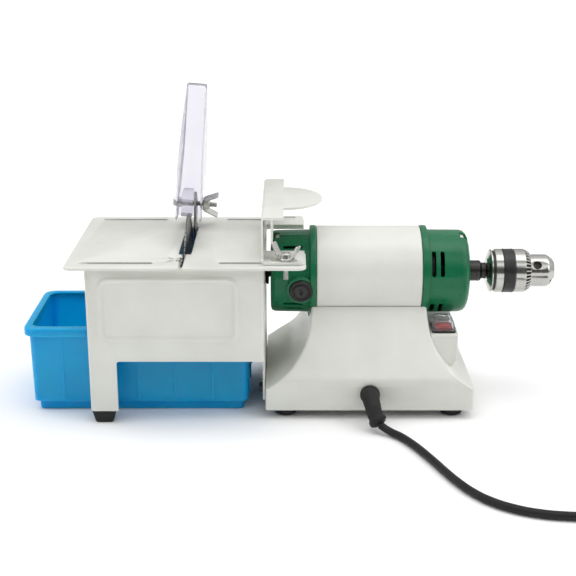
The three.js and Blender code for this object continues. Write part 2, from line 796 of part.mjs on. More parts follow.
// ---------- fence ----------
const fenceTop = new THREE.Shape();
fenceTop.moveTo(fence.left, fence.front);
fenceTop.lineTo(fence.right, fence.front);
fenceTop.absellipse(fence.right, discY, discReach, discHalf, -right, right);
fenceTop.lineTo(fence.right, fence.back);
fenceTop.lineTo(fence.left, fence.back);
fenceTop.closePath();
const footBottom = table.top + gap;
const fenceFoot = (y0, y1, end) => prism(
  roundedRect(fence.left, end, y0, y1, 1.5),
  footBottom,
  footBottom + fence.sheet,
);
const webSide = roundedRect(fence.front, fence.back, footBottom, fence.top, 1.9);
piece('fence', cut(
  join(
    prism(fenceTop, fence.top - fence.sheet, fence.top, 'z', 7),
    prism(webSide, fence.left, fence.left + fence.sheet, 'x'),
    box(fence.lip - fence.sheet, fence.lip, fence.front, fence.back, fence.top - 23.5, fence.top),
    fenceFoot(-86, -notch.half, 11),
    fenceFoot(notch.half, 80, 11),
  ),
  prism(slot(-19, 4, frontSlotY, slotWidth), table.top - 1, table.top + 4),
  prism(slot(-19, 4, backSlotY, slotWidth), table.top - 1, table.top + 4),
), white);

const nutFace = table.top - table.thick - gap;
piece('fence_screw', join(
  rod(137, 162.8, 2.4, 'z'),
  turned([[nutFace - 4, 0], [nutFace - 4, 4.6], [nutFace, 4.6], [nutFace, 0]], 'z', 6),
), steel).position.set(fenceScrewX, frontSlotY, 0);
const fenceNutHolder = group(fenceScrewX, frontSlotY, footBottom + fence.sheet + gap);
fenceNutHolder.rotation.y = -Math.PI / 2;
const fenceNut = piece('fence_wing_nut', wingNut(2.4), chrome, fenceNutHolder);
fenceNut.rotation.x = THREE.MathUtils.degToRad(55);

// ---------- water tank ----------
const tankSide = (z, inset) => ({
  x0: tank.left + inset,
  x1: tank.right - inset,
  y0: tank.front + inset,
  y1: tank.back - inset,
  z,
});
const tankOuter = loft([
  tankSide(0, 18),
  tankSide(5, 18),
  tankSide(5.8, 11.5),
  tankSide(13, 11),
  tankSide(13.8, 9),
  tankSide(tank.rim - tank.lip, 6),
  tankSide(tank.rim - tank.lip + 0.5, 0.5),
  tankSide(tank.rim - 1, 0),
  tankSide(tank.rim, 1),
], 10);
const tankInner = loft([
  tankSide(7.5, 13.5),
  tankSide(16, 9 + tank.wall),
  tankSide(tank.rim - tank.lip, 6 + tank.wall),
  tankSide(tank.rim + 1, 6 + tank.wall - 0.5),
], 8);
const underLip = cut(
  loft([tankSide(tank.rim - tank.lip - 1, -2), tankSide(tank.rim - 2.4, -2)], 10),
  loft([tankSide(tank.rim - tank.lip - 2, 6), tankSide(tank.rim - 2, 6)], 10),
);
const lipSkirt = cut(
  loft([tankSide(tank.rim - tank.lip, 0.4), tankSide(tank.rim - 1, 0)], 10),
  loft([tankSide(tank.rim - tank.lip - 1, 2.4), tankSide(tank.rim, 2)], 9),
);
const ribs = [0, 1, 2, 3, 4, 5].flatMap((i) => [tank.front + 6.4, tank.back - 9.4].map((y) => box(
  -226 + i * 34,
  -223 + i * 34,
  y,
  y + 3,
  16,
  tank.rim - 4,
)));
piece('tank', join(
  cut(join(solidOf(tankOuter), ...ribs), underLip, tankInner),
  lipSkirt,
), blue);

// ---------- switch ----------
const bezelX = [switchX - 11, switchX + 11];
const bezelY = [switchY - 13.5, switchY + 13.5];
piece('switch_housing', cut(
  join(
    prism(roundedRect(...bezelX, ...bezelY, 2), podTop + gap, podTop + gap + 2),
    box(switchX - 9.2, switchX + 9.2, switchY - 11.7, switchY + 11.7, 56, podTop + 1),
  ),
  box(switchX - 7.9, switchX + 7.9, switchY - 10, switchY + 10, 64, podTop + 5),
), blackPlastic);

const rocker = group(switchX, switchY, podTop - 1.5);
const rockerTilt = THREE.MathUtils.degToRad(-7);
const rockerSide = polygon([[-9, 3], [-9, 7.4], [0, 4.6], [9, 7.4], [9, 3], [4, -4.5], [-4, -4.5]]);
piece('rocker', prism(rockerSide, -7.5, 7.5, 'x'), red, rocker).rotation.x = rockerTilt;

const bootFoot = podTop + gap + 2 + gap;
const bootLevel = (z, inset) => ({
  x0: bezelX[0] + inset,
  x1: bezelX[1] - inset,
  y0: bezelY[0] + inset,
  y1: bezelY[1] - inset,
  z: bootFoot + z,
});
piece('switch_boot', cut(
  loft([bootLevel(0, 0), bootLevel(1.4, 0), bootLevel(1.5, 0.8), bootLevel(7.5, 1.6), bootLevel(9, 3.4)], 2.4),
  loft([bootLevel(-1, 1.7), bootLevel(6.6, 2.8), bootLevel(7.8, 4.2)], 2),
), clear);

// ---------- mains lead ----------
const cordStart = new THREE.Vector3(80, -105.2, 7.6);
const reliefPath = new THREE.CatmullRomCurve3([
  new THREE.Vector3(motorX, -baseHalfY + 2, reliefZ),
  new THREE.Vector3(motorX, -baseHalfY - 6, reliefZ),
  new THREE.Vector3(motorX + 1.2, -90, 21.5),
  new THREE.Vector3(motorX + 4, -99.5, 13),
  cordStart.clone().add(new THREE.Vector3(-0.7, 0.9, 0.9)),
]);
function taperedHose(path, steps, sides, radiusAt) {
  const frames = path.computeFrenetFrames(steps, false);
  const positions = [];
  const index = [];
  for (let i = 0; i <= steps; i += 1) {
    const centre = path.getPointAt(i / steps);
    for (let k = 0; k < sides; k += 1) {
      const angle = (k / sides) * Math.PI * 2;
      const out = frames.normals[i].clone().multiplyScalar(Math.cos(angle))
        .addScaledVector(frames.binormals[i], Math.sin(angle));
      positions.push(...centre.clone().addScaledVector(out, radiusAt(i / steps)).toArray());
    }
  }
  for (let i = 0; i < steps; i += 1) {
    for (let k = 0; k < sides; k += 1) {
      const a = i * sides + k;
      const b = i * sides + ((k + 1) % sides);
      index.push(a, b, b + sides, a, b + sides, a + sides);
    }
  }
  const last = steps * sides;
  for (let k = 1; k < sides - 1; k += 1) index.push(0, k + 1, k, last, last + k, last + k + 1);
  const geometry = new THREE.BufferGeometry();
  geometry.setAttribute('position', new THREE.Float32BufferAttribute(positions, 3));
  geometry.setIndex(index);
  return geometry;
}
// A shank through the casting, a collar against it, a tapering sleeve and a ring at its end.
const reliefRadius = (t) => {
  if (t < 0.12) return 6;
  if (t < 0.2) return 9;
  if (t > 0.8 && t < 0.99) return 8;
  return THREE.MathUtils.lerp(8.4, 6.2, (t - 0.2) / 0.8);
};
piece('strain_relief', taperedHose(reliefPath, 18, 12, reliefRadius), rubber);

const cordRoute = [
  [80, -105.2, 7.6],
  [84.5, -108.6, 5.4],
  [90, -113.4, 4],
  [97, -120.5, 3.5],
  [104, -132, 3.5],
  [110.5, -145, 3.5],
  [116.5, -159, 3.5],
  [122.5, -174, 3.5],
  [129, -191, 3.5],
  [136.5, -208.5, 3.5],
  [146, -226, 3.5],
  [158.5, -241.5, 3.5],
  [174.5, -253.5, 3.5],
  [193, -261.5, 3.5],
  [213, -265.5, 3.5],
  [234, -266.5, 3.5],
  [258, -264.5, 3.5],
  [283.5, -260.2, 3.5],
].map((p) => new THREE.Vector3(...p));
const cordSection = new THREE.Shape();
cordSection.absarc(0, 0, cordRadius - 0.02, 0, Math.PI * 2);
piece('cord', new THREE.ExtrudeGeometry(cordSection, {
  steps: 22,
  curveSegments: 4,
  bevelEnabled: false,
  extrudePath: new THREE.CatmullRomCurve3(cordRoute),
}), rubber);

piece('cord_coil', turned([
  [0, coilInner],
  [0, coilOuter],
  [coilHeight, coilOuter],
  [coilHeight, coilInner],
], 'z', 24), rubber).position.set(coilX, coilY, 0);

const tieOuter = box(-coilOuter - 1.8, -coilInner + 2.6, -4, 4, 0, coilHeight + 1.6);
const tieInner = box(-coilOuter - 0.4, -coilInner + 1.1, -5, 5, -1, coilHeight + gap);
const tie = piece('cord_tie', cut(tieOuter, tieInner), blackPlastic);
tie.position.set(coilX, coilY, 0);
tie.rotation.z = THREE.MathUtils.degToRad(35);

const plug = group(coilX - 4, coilY + 38.5, coilHeight + gap + 10.5);
const plugBody = join(
  prism(roundedRect(-12, 12, -10.5, 10.5, 7), -18, 12, 'x', 2),
  turned([[10, 0], [10, 6.5], [26, 4.6], [26, 0]], 'x', 20),
);
const blades = [-1, 1].map((side) => box(-36, -17, side * 6.3 - 0.8, side * 6.3 + 0.8, -0.5, 5.8));
const groundPin = turned([[-39, 0], [-39, 1.6], [-38, 2.4], [-17, 2.4], [-17, 0]], 'x', 16)
  .translate(0, 0, -5.6);
piece('plug', join(plugBody, ...blades, groundPin), rubber, plug);

export default saw;
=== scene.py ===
# The looks of the bench trim saw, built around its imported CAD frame.
# The shape functions work in millimetres, with +X along the motor shaft and Y measured from the
# shaft, as the machine is drawn. show() turns a finished shape into metres in the frame.
import math
from contextlib import contextmanager

import bmesh
import bpy
from mathutils import Matrix, Vector


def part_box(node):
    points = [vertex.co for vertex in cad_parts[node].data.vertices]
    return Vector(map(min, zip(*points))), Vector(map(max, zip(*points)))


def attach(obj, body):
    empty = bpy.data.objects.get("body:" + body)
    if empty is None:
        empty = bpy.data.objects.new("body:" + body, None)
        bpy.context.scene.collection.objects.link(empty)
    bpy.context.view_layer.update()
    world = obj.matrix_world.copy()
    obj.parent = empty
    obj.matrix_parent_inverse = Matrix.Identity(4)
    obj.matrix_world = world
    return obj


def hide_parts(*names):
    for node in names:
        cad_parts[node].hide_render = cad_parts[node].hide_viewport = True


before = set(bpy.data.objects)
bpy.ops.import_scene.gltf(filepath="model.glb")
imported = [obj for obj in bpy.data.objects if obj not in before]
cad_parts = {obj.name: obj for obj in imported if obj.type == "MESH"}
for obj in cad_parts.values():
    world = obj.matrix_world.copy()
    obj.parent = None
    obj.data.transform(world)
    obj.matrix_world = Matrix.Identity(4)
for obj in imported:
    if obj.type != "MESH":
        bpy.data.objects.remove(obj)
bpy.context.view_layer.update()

MM = 0.001


def node_box(node):
    """A CAD node's lowest and highest corners, in millimetres."""
    low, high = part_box(node)
    return low / MM, high / MM


shaft_low, shaft_high = node_box("shaft")
AXIS_Y = (shaft_low.y + shaft_high.y) / 2
AXIS_Z = (shaft_low.z + shaft_high.z) / 2
sleeve_low, sleeve_high = node_box("motor_sleeve")
MOTOR_X = (sleeve_low.x + sleeve_high.x) / 2


def linked(name, data):
    """A new object in the scene."""
    made = bpy.data.objects.new(name, data)
    bpy.context.scene.collection.objects.link(made)
    return made


def wired(tree, kind, inputs, **settings):
    """A shader node whose inputs are set to values or fed from other nodes' outputs."""
    node = tree.nodes.new(kind)
    for name, value in settings.items():
        setattr(node, name, value)
    for key, value in inputs.items():
        if isinstance(value, bpy.types.NodeSocket):
            tree.links.new(value, node.inputs[key])
        else:
            node.inputs[key].default_value = value
    return node


# ---------- camera ----------
def make_camera():
    """The photograph's view: level across, looking down on the front of the machine."""
    data = bpy.data.cameras.new("camera")
    data.lens = 75
    data.sensor_width = 36
    data.clip_start = 0.05
    data.clip_end = 50
    camera = linked("camera", data)
    camera.location = (-0.0040, -1.0974, 0.4635)
    camera.rotation_euler = (math.radians(71.95), 0, 0)
    bpy.context.scene.camera = camera


# ---------- materials ----------
# How far a metal's grain is drawn out along each axis.
LATHE_LINES = (60, 1, 1)
EVEN = (1, 1, 1)
# The colour inputs and output of a Mix node.
MIX_A, MIX_B, MIX_RESULT = 6, 7, 2
MATERIALS = {}


def screen(red, green, blue):
    """A colour given in screen bytes, as the linear values that shaders use."""
    return tuple(
        ((c / 255 + 0.055) / 1.055) ** 2.4 if c > 10 else c / 255 / 12.92 for c in (red, green, blue)
    ) + (1.0,)


class Finish:
    """A Principled material that drifts between two tones, with a fine grain in gloss and relief."""

    def __init__(self, name, light, dark, roughness, metallic=0.0, stretch=(1, 1, 1), **sockets):
        self.material = bpy.data.materials.new(name)
        MATERIALS[name] = self.material
        self.material.use_nodes = True
        self.tree = self.material.node_tree
        self.shader = self.tree.nodes["Principled BSDF"]
        self.shader.inputs["Metallic"].default_value = metallic
        for socket, value in sockets.items():
            self.shader.inputs[socket.replace("_", " ")].default_value = value
        where = wired(self.tree, "ShaderNodeTexCoord", {}).outputs["Object"]
        mapping = wired(self.tree, "ShaderNodeMapping", {"Scale": stretch, "Vector": where})
        self.place = mapping.outputs["Vector"]
        self.height = None
        drift = self.scaled(self.noise(24, 3), 0, 1)
        tones = {"Factor": drift, MIX_A: screen(*light), MIX_B: screen(*dark)}
        self.colour = wired(self.tree, "ShaderNodeMix", tones, data_type="RGBA").outputs[MIX_RESULT]
        self.gloss = self.scaled(self.noise(160, 4), *roughness)

    def noise(self, scale, detail=2, roughness=0.55):
        """A noise's value; its scale counts waves to the metre."""
        inputs = {"Scale": scale, "Detail": detail, "Roughness": roughness, "Vector": self.place}
        return wired(self.tree, "ShaderNodeTexNoise", inputs).outputs["Fac"]

    def scaled(self, value, low, high):
        """Takes a noise, which lies mostly between 0.3 and 0.7, to between two values."""
        inputs = {"From Min": 0.3, "From Max": 0.7, "To Min": low, "To Max": high, "Value": value}
        return wired(self.tree, "ShaderNodeMapRange", inputs).outputs["Result"]

    def relief(self, value, depth):
        """Adds height, in metres, where the value is one."""
        inputs = {0: value, 1: depth, 2: self.height or 0.0}
        self.height = wired(self.tree, "ShaderNodeMath", inputs, operation="MULTIPLY_ADD").outputs[0]

    def done(self):
        """Joins the colour, gloss and relief to the shader."""
        self.tree.links.new(self.colour, self.shader.inputs["Base Color"])
        self.tree.links.new(self.gloss, self.shader.inputs["Roughness"])
        if self.height:
            inputs = {"Strength": 1.0, "Distance": 1.0, "Height": self.height}
            bump = wired(self.tree, "ShaderNodeBump", inputs)
            self.tree.links.new(bump.outputs["Normal"], self.shader.inputs["Normal"])


def enamel(name, light, dark, roughness, coat, **sockets):
    """Sprayed enamel: an orange-peel skin over the metal, a little uneven in tone and gloss."""
    finish = Finish(name, light, dark, roughness, Coat_Weight=coat, Coat_Roughness=0.12, **sockets)
    finish.relief(finish.noise(420, 2), 0.000012)
    finish.relief(finish.noise(90, 1), 0.000024)
    finish.done()


def turned_metal(name, light, dark, roughness, stretch=LATHE_LINES, depth=0.000002):
    """Metal finished on a lathe or a belt: fine lines across one direction."""
    finish = Finish(name, light, dark, roughness, 1.0, stretch)
    lines = finish.noise(60, 5, 0.7)
    finish.relief(lines, depth)
    finish.gloss = finish.scaled(lines, *roughness)
    finish.done()


def moulded(name, light, dark, roughness, depth=0.00001, **sockets):
    """Moulded plastic or rubber with a fine matt texture."""
    finish = Finish(name, light, dark, roughness, **sockets)
    finish.relief(finish.noise(1400, 2), depth)
    finish.relief(finish.noise(60, 2), depth * 2)
    finish.done()


# Each material: its name, its light and dark tones, how rough it is, and what sets it apart.
enamel("white_enamel", (228, 229, 222), (220, 221, 213), (0.3, 0.42), 0.25)
enamel("green_enamel", (10, 112, 72), (7, 100, 63), (0.26, 0.36), 0.1, Specular_IOR_Level=0.32)
moulded(
    "blue_plastic", (8, 164, 228), (4, 156, 220), (0.3, 0.42), 0.000006, Specular_IOR_Level=0.35,
    Subsurface_Weight=1.0, Subsurface_Scale=0.012, Subsurface_Radius=(0.5, 0.9, 1.0),
)
moulded(
    "clear_plastic", (248, 247, 253), (243, 242, 250), (0.05, 0.1), 0.000001,
    Transmission_Weight=0.86, IOR=1.22,
)
moulded(
    "clear_rubber", (250, 250, 252), (244, 244, 247), (0.04, 0.08), 0.000001,
    Transmission_Weight=0.94, IOR=1.16,
)
moulded("black_rubber", (34, 34, 34), (24, 24, 24), (0.55, 0.72), 0.00002, Specular_IOR_Level=0.35)
moulded("cord_rubber", (30, 30, 30), (22, 22, 22), (0.48, 0.6), 0.000008, Specular_IOR_Level=0.3)
turned_metal("steel", (168, 168, 166), (140, 140, 138), (0.26, 0.4), EVEN)
turned_metal("lathe_steel", (150, 150, 148), (116, 116, 114), (0.25, 0.4))
# The shaft's and screws' black oxide; also used for the dark pieces of painted shade in the chuck's groove,
# key holes and tooth gaps.
turned_metal("blackened_steel", (78, 78, 76), (56, 56, 55), (0.3, 0.45))
turned_metal("chrome_plate", (196, 195, 191), (182, 181, 177), (0.12, 0.22), depth=0.0000012)
turned_metal("zinc_plate", (214, 214, 210), (182, 182, 178), (0.2, 0.36), EVEN)
turned_metal("aluminium_can", (205, 206, 208), (186, 187, 189), (0.3, 0.4))
turned_metal("laminations", (128, 130, 132), (84, 86, 88), (0.4, 0.6), (120, 1, 1), 0.00002)
turned_metal("copper", (196, 122, 74), (158, 86, 48), (0.25, 0.4))
moulded("carbon", (48, 48, 49), (34, 34, 35), (0.5, 0.7))
moulded("grey_plastic", (52, 50, 49), (44, 42, 41), (0.4, 0.5), 0.000008, Specular_IOR_Level=0.35)
moulded("black_plastic", (32, 32, 34), (24, 24, 26), (0.32, 0.45), 0.000006)
moulded(
    "red_plastic", (196, 34, 34), (182, 24, 26), (0.18, 0.28), 0.000002,
    Subsurface_Weight=0.2, Subsurface_Scale=0.002,
)


def dressed(made, material):
    """Gives a piece its material."""
    made.data.materials.clear()
    made.data.materials.append(MATERIALS[material])


# ---------- outlines ----------
def rounded(points, radius, steps=4, closed=True):
    """Turns each corner of a polyline into an arc of that radius, or of what its sides allow."""
    points = [Vector(p) for p in points]
    count = len(points)
    made = []
    for i, corner in enumerate(points):
        if not closed and i in (0, count - 1):
            made.append(corner)
            continue
        before = points[i - 1] - corner
        after = points[(i + 1) % count] - corner
        turn = before.angle(after, math.pi)
        if turn > math.radians(176) or turn < 1e-3:
            made.append(corner)
            continue
        reach = min(radius / math.tan(turn / 2), before.length * 0.48, after.length * 0.48)
        start = corner + before.normalized() * reach
        end = corner + after.normalized() * reach
        centre = corner + (before.normalized() + after.normalized()).normalized() * (
            reach / math.cos(turn / 2)
        )
        for k in range(steps + 1):
            across = start.lerp(end, k / steps) - centre
            made.append(centre + across.normalized() * (start - centre).length)
    return [tuple(p) for p in made]


def corner_rounded(corners, steps=5):
    """An outline whose corners each have a radius of their own."""
    made = []
    count = len(corners)
    for i, (a, b, radius) in enumerate(corners):
        before = corners[i - 1][:2]
        after = corners[(i + 1) % count][:2]
        path = [Vector(before).lerp(Vector((a, b)), 0.5), (a, b), Vector(after).lerp(Vector((a, b)), 0.5)]
        made += rounded(path, radius, steps, closed=False)[1:-1]
    return made


def rectangle(a0, a1, b0, b1, radius=0.0, steps=5):
    corners = [(a0, b0), (a1, b0), (a1, b1), (a0, b1)]
    return rounded(corners, radius, steps) if radius else corners


def slot(a0, a1, b, width, steps=8):
    return rectangle(a0, a1, b - width / 2, b + width / 2, width / 2, steps)


def ribbon(path, thickness, bend, steps=6):
    """The closed outline of a sheet seen edge-on, that follows an open path with rounded bends."""
    line = [Vector(p) for p in rounded(path, bend, steps, closed=False)]
    left, right = [], []
    for i, point in enumerate(line):
        ahead = (line[min(i + 1, len(line) - 1)] - line[max(i - 1, 0)]).normalized()
        across = Vector((-ahead.y, ahead.x)) * (thickness / 2)
        left.append(tuple(point + across))
        right.append(tuple(point - across))
    return left + right[::-1]


def arc(centre, radius, start, end, steps):
    """Points on an arc, between two angles in degrees."""
    angles = [math.radians(start + (end - start) * k / steps) for k in range(steps + 1)]
    return [(centre[0] + radius * math.cos(a), centre[1] + radius * math.sin(a)) for a in angles]


def through(points, steps):
    """A smooth line through all the points, with so many steps between each two."""
    points = [Vector(p) for p in points]
    made = []
    for i in range(len(points) - 1):
        before = points[max(i - 1, 0)]
        start, end = points[i], points[i + 1]
        after = points[min(i + 2, len(points) - 1)]
        for k in range(steps):
            t = k / steps
            made.append(
                0.5 * (2 * start + (end - before) * t + (2 * before - 5 * start + 4 * end - after) * t * t
                       + (3 * start - 3 * end + after - before) * t ** 3)
            )
    made.append(points[-1])
    return made


def ease(t):
    """A smooth step from 0 to 1."""
    t = min(max(t, 0.0), 1.0)
    return t * t * (3 - 2 * t)


# ---------- shapes ----------
# Points of a shape that lie nearer than this, in millimetres, are one point.
SAME_PLACE = 1e-4
# What a shape is called until show() names the piece.
ROUGH = "shape"
PLANES = {
    "x": Matrix(((0, 0, 1, 0), (1, 0, 0, 0), (0, 1, 0, 0), (0, 0, 0, 1))),
    "y": Matrix(((1, 0, 0, 0), (0, 0, -1, 0), (0, 1, 0, 0), (0, 0, 0, 1))),
    "z": Matrix.Identity(4),
}


@contextmanager
def edited(mesh):
    """Opens a mesh for editing, and writes it back."""
    work = bmesh.new()
    work.from_mesh(mesh)
    yield work
    work.to_mesh(mesh)
    work.free()


def shape(vertices, faces):
    """A closed mesh object, its faces turned outwards."""
    mesh = bpy.data.meshes.new(ROUGH)
    mesh.from_pydata([tuple(v) for v in vertices], [], faces)
    with edited(mesh) as work:
        bmesh.ops.remove_doubles(work, verts=work.verts, dist=SAME_PLACE)
        bmesh.ops.recalc_face_normals(work, faces=work.faces)
    return linked(ROUGH, mesh)


def skinned(rings, closed=False):
    """A skin over rings of equally many points; its ends are capped, or joined if it is closed."""
    count = len(rings[0])
    vertices = [point for ring in rings for point in ring]
    faces = []
    spans = len(rings) if closed else len(rings) - 1
    for i in range(spans):
        here, there = i * count, ((i + 1) % len(rings)) * count
        for k in range(count):
            after = (k + 1) % count
            faces.append((here + k, here + after, there + after, there + k))
    if not closed:
        faces.append(tuple(range(count)))
        faces.append(tuple(range(len(vertices) - count, len(vertices))))
    return shape(vertices, faces)


def turned(profile, axis="x", segments=96, edge=0.0, tube=False, reach=None):
    """A profile of (position, radius) turned about an axis. A tube's profile closes on itself.
    reach(position, radius, angle) may change the radius round the shape."""
    if edge:
        profile = rounded(profile, edge, 3, closed=tube)
    rings = []
    for position, radius in profile:
        ring = []
        for k in range(segments):
            angle = 2 * math.pi * k / segments
            out = reach(position, radius, angle) if reach else radius
            ring.append(Vector((out * math.cos(angle), out * math.sin(angle), position)))
        rings.append([PLANES[axis] @ p for p in ring])
    if axis == "y":
        for ring in rings:
            for p in ring:
                p.y = -p.y
    return skinned(rings, closed=tube)


def prism(outline, start, end, axis="z", holes=(), edge=0.0, edge_steps=2):
    """An outline with holes, grown along an axis, with rounded rims. Along x it is drawn in (y, z),
    along y in (x, z) and along z in (x, y)."""
    curve = bpy.data.curves.new(ROUGH, "CURVE")
    curve.dimensions = "2D"
    curve.fill_mode = "BOTH"
    curve.extrude = (end - start) / 2 - edge
    curve.bevel_depth = edge
    curve.bevel_resolution = edge_steps
    curve.offset = -edge
    for ring in (outline, *holes):
        spline = curve.splines.new("POLY")
        spline.points.add(len(ring) - 1)
        for point, (a, b) in zip(spline.points, ring):
            point.co = (a, b, 0, 1)
        spline.use_cyclic_u = True
    drawn = linked(ROUGH, curve)
    mesh = bpy.data.meshes.new_from_object(drawn.evaluated_get(bpy.context.evaluated_depsgraph_get()))
    bpy.data.objects.remove(drawn)
    bpy.data.curves.remove(curve)
    middle = (start + end) / 2
    mesh.transform(PLANES[axis] @ Matrix.Translation((0, 0, -middle if axis == "y" else middle)))
    with edited(mesh) as work:
        bmesh.ops.remove_doubles(work, verts=work.verts, dist=SAME_PLACE)
        bmesh.ops.dissolve_limit(work, angle_limit=0.002, verts=work.verts, edges=work.edges)
        bmesh.ops.recalc_face_normals(work, faces=work.faces)
    return linked(ROUGH, mesh)


def block(x0, x1, y0, y1, z0, z1, edge=0.0):
    return prism(rectangle(x0, x1, y0, y1, edge), z0, z1, "z", edge=edge)


def rod(start, end, radius, axis="x", segments=48, edge=0.0):
    return turned([(start, 0), (start, radius), (end, radius), (end, 0)], axis, segments, edge)


def loft(levels, steps=6):
    """Rounded rectangles (z, x0, x1, y0, y1, corner) stacked up and skinned."""
    return skinned([
        [(x, y, z) for x, y in rectangle(x0, x1, y0, y1, corner, steps)]
        for z, x0, x1, y0, y1, corner in levels
    ])


def stack(sides, levels, steps=6):
    """A loft between the same four sides (x0, x1, y0, y1): each level is (z, how far in, corner)."""
    x0, x1, y0, y1 = sides
    return loft([(z, x0 + i, x1 - i, y0 + i, y1 - i, corner) for z, i, corner in levels], steps)


def hose(path, radii, sides=32):
    """A round tube of changing radius along a path."""
    rings = []
    up = Vector((1, 0, 0.2)).normalized()
    for i, point in enumerate(path):
        ahead = (path[min(i + 1, len(path) - 1)] - path[max(i - 1, 0)]).normalized()
        side = ahead.cross(up).normalized()
        up = side.cross(ahead).normalized()
        rings.append([
            point + (side * math.cos(a) + up * math.sin(a)) * radii[i]
            for a in (2 * math.pi * k / sides for k in range(sides))
        ])
    return skinned(rings)


def moved(made, x=0.0, y=0.0, z=0.0, turn=None):
    """Turns a shape, if a (degrees, axis) is given, and then shifts it."""
    matrix = Matrix.Translation((x, y, z))
    if turn:
        matrix = matrix @ Matrix.Rotation(math.radians(turn[0]), 4, turn[1])
    made.data.transform(matrix)
    return made


def on_shaft(made):
    """From the shaft's own place at the middle of the motor to its place in the machine."""
    return moved(made, MOTOR_X, 0, AXIS_Z)


def around(made, degrees):
    """Turns a shape made at the front, on -Y, downwards round the shaft."""
    return moved(made, turn=(degrees, "X"))


def front_rod(start, end, radius, x, degrees, segments=48):
    """A rod that points away from the shaft, so far round from the front."""
    pin = moved(rod(start, end, radius, "y", segments), x, 0, 0, turn=(180, "Z"))
    return around(pin, degrees)


def applied(made):
    """Makes a shape's modifiers part of its mesh."""
    drawn = made.evaluated_get(bpy.context.evaluated_depsgraph_get())
    mesh = bpy.data.meshes.new_from_object(drawn)
    old = made.data
    made.modifiers.clear()
    made.data = mesh
    bpy.data.meshes.remove(old)
    return made


def combine(made, operation, tools):
    """Adds, cuts away or intersects closed shapes, which are used up."""
    for tool in tools:
        modifier = made.modifiers.new("boolean", "BOOLEAN")
        modifier.operation = operation
        modifier.solver = "MANIFOLD"
        modifier.object = tool
        applied(made)
        bpy.data.objects.remove(tool)
    return made


def cut(made, *tools):
    return combine(made, "DIFFERENCE", tools)


def join(made, *tools):
    return combine(made, "UNION", tools)


def soften(made, width, segments=2, angle=40):
    """Rounds the sharp edges that cutting and joining leave."""
    with edited(made.data) as work:
        bmesh.ops.remove_doubles(work, verts=work.verts, dist=0.01)
        bmesh.ops.dissolve_limit(work, angle_limit=0.003, verts=work.verts, edges=work.edges)
    modifier = made.modifiers.new("edges", "BEVEL")
    modifier.width = width
    modifier.segments = segments
    modifier.limit_method = "ANGLE"
    modifier.angle_limit = math.radians(angle)
    modifier.use_clamp_overlap = True
    modifier.miter_outer = "MITER_ARC"
    return applied(made)


def melted(made, voxel, rounds=2):
    """Runs a shape's edges together, as in a casting, by remeshing it."""
    modifier = made.modifiers.new("remesh", "REMESH")
    modifier.mode = "VOXEL"
    modifier.voxel_size = voxel
    smooth = made.modifiers.new("smooth", "SMOOTH")
    smooth.factor = 0.5
    smooth.iterations = rounds
    return applied(made)


def merged(*parts):
    """Several separate shapes kept in one object."""
    work = bmesh.new()
    for part in parts:
        work.from_mesh(part.data)
        bpy.data.objects.remove(part)
    mesh = bpy.data.meshes.new(ROUGH)
    work.to_mesh(mesh)
    work.free()
    return linked(ROUGH, mesh)


def show(made, name, material, *nodes, body="frame", sharp=32):
    """Puts a finished shape in the frame with its material and its body, and hides the CAD nodes that it
    stands for.
    """
    made.name = name
    made.data.name = name
    made.data.transform(Matrix.Scale(MM, 4) @ Matrix.Translation((0, AXIS_Y, 0)))
    made.data.polygons.foreach_set("use_smooth", [True] * len(made.data.polygons))
    made.data.set_sharp_from_angle(angle=math.radians(sharp))
    dressed(made, material)
    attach(made, body)
    if nodes:
        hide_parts(*nodes)
    return made


# ---------- mains lead ----------
CORD_RADIUS = 0.0035
COIL_CENTRE = Vector((0.306, -0.210))
# The lead's way over the bench, in metres, as the CAD lays it.
CORD_ROUTE = [
    (0.0800, -0.1002, 0.0076),
    (0.0845, -0.1036, 0.0054),
    (0.0900, -0.1084, 0.0040),
    (0.0970, -0.1155, 0.0035),
    (0.1040, -0.1270, 0.0035),
    (0.1105, -0.1400, 0.0035),
    (0.1165, -0.1540, 0.0035),
    (0.1225, -0.1690, 0.0035),
    (0.1290, -0.1860, 0.0035),
    (0.1365, -0.2035, 0.0035),
    (0.1460, -0.2210, 0.0035),
    (0.1585, -0.2365, 0.0035),
    (0.1745, -0.2485, 0.0035),
    (0.1930, -0.2565, 0.0035),
    (0.2130, -0.2605, 0.0035),
    (0.2340, -0.2615, 0.0035),
    (0.2580, -0.2595, 0.0035),
    (0.2835, -0.2552, 0.0035),
]
# The turns, as (radius of the middle of the cord, its height).
COIL_TURNS = [
    (0.042, 0.0035),
    (0.035, 0.0035),
    (0.035, 0.0105),
    (0.042, 0.0105),
    (0.042, 0.0175),
    (0.035, 0.0175),
]
POINTS_PER_TURN = 16
PLUG_PLACE = (302, -176.5, 31.8)
LAST_TURN = [
    (0.3300, -0.2340, 0.0190),
    (0.3415, -0.2120, 0.0262),
    (0.3410, -0.1900, 0.0300),
    (0.3350, -0.1765, 0.0316),
    (0.3290, -0.1722, 0.0318),
]


def coil_points():
    """Six turns laid beside and on each other; each passes to the next over its last sixth."""
    points = []
    for i, (radius, height) in enumerate(COIL_TURNS):
        next_radius, next_height = COIL_TURNS[min(i + 1, len(COIL_TURNS) - 1)]
        for k in range(POINTS_PER_TURN):
            share = k / POINTS_PER_TURN
            change = ease((share - 5 / 6) * 6)
            r = radius + (next_radius - radius) * change
            angle = -math.pi / 2 + 2 * math.pi * share
            points.append((
                COIL_CENTRE.x + r * math.cos(angle),
                COIL_CENTRE.y + r * math.sin(angle),
                height + (next_height - height) * change,
            ))
    return points


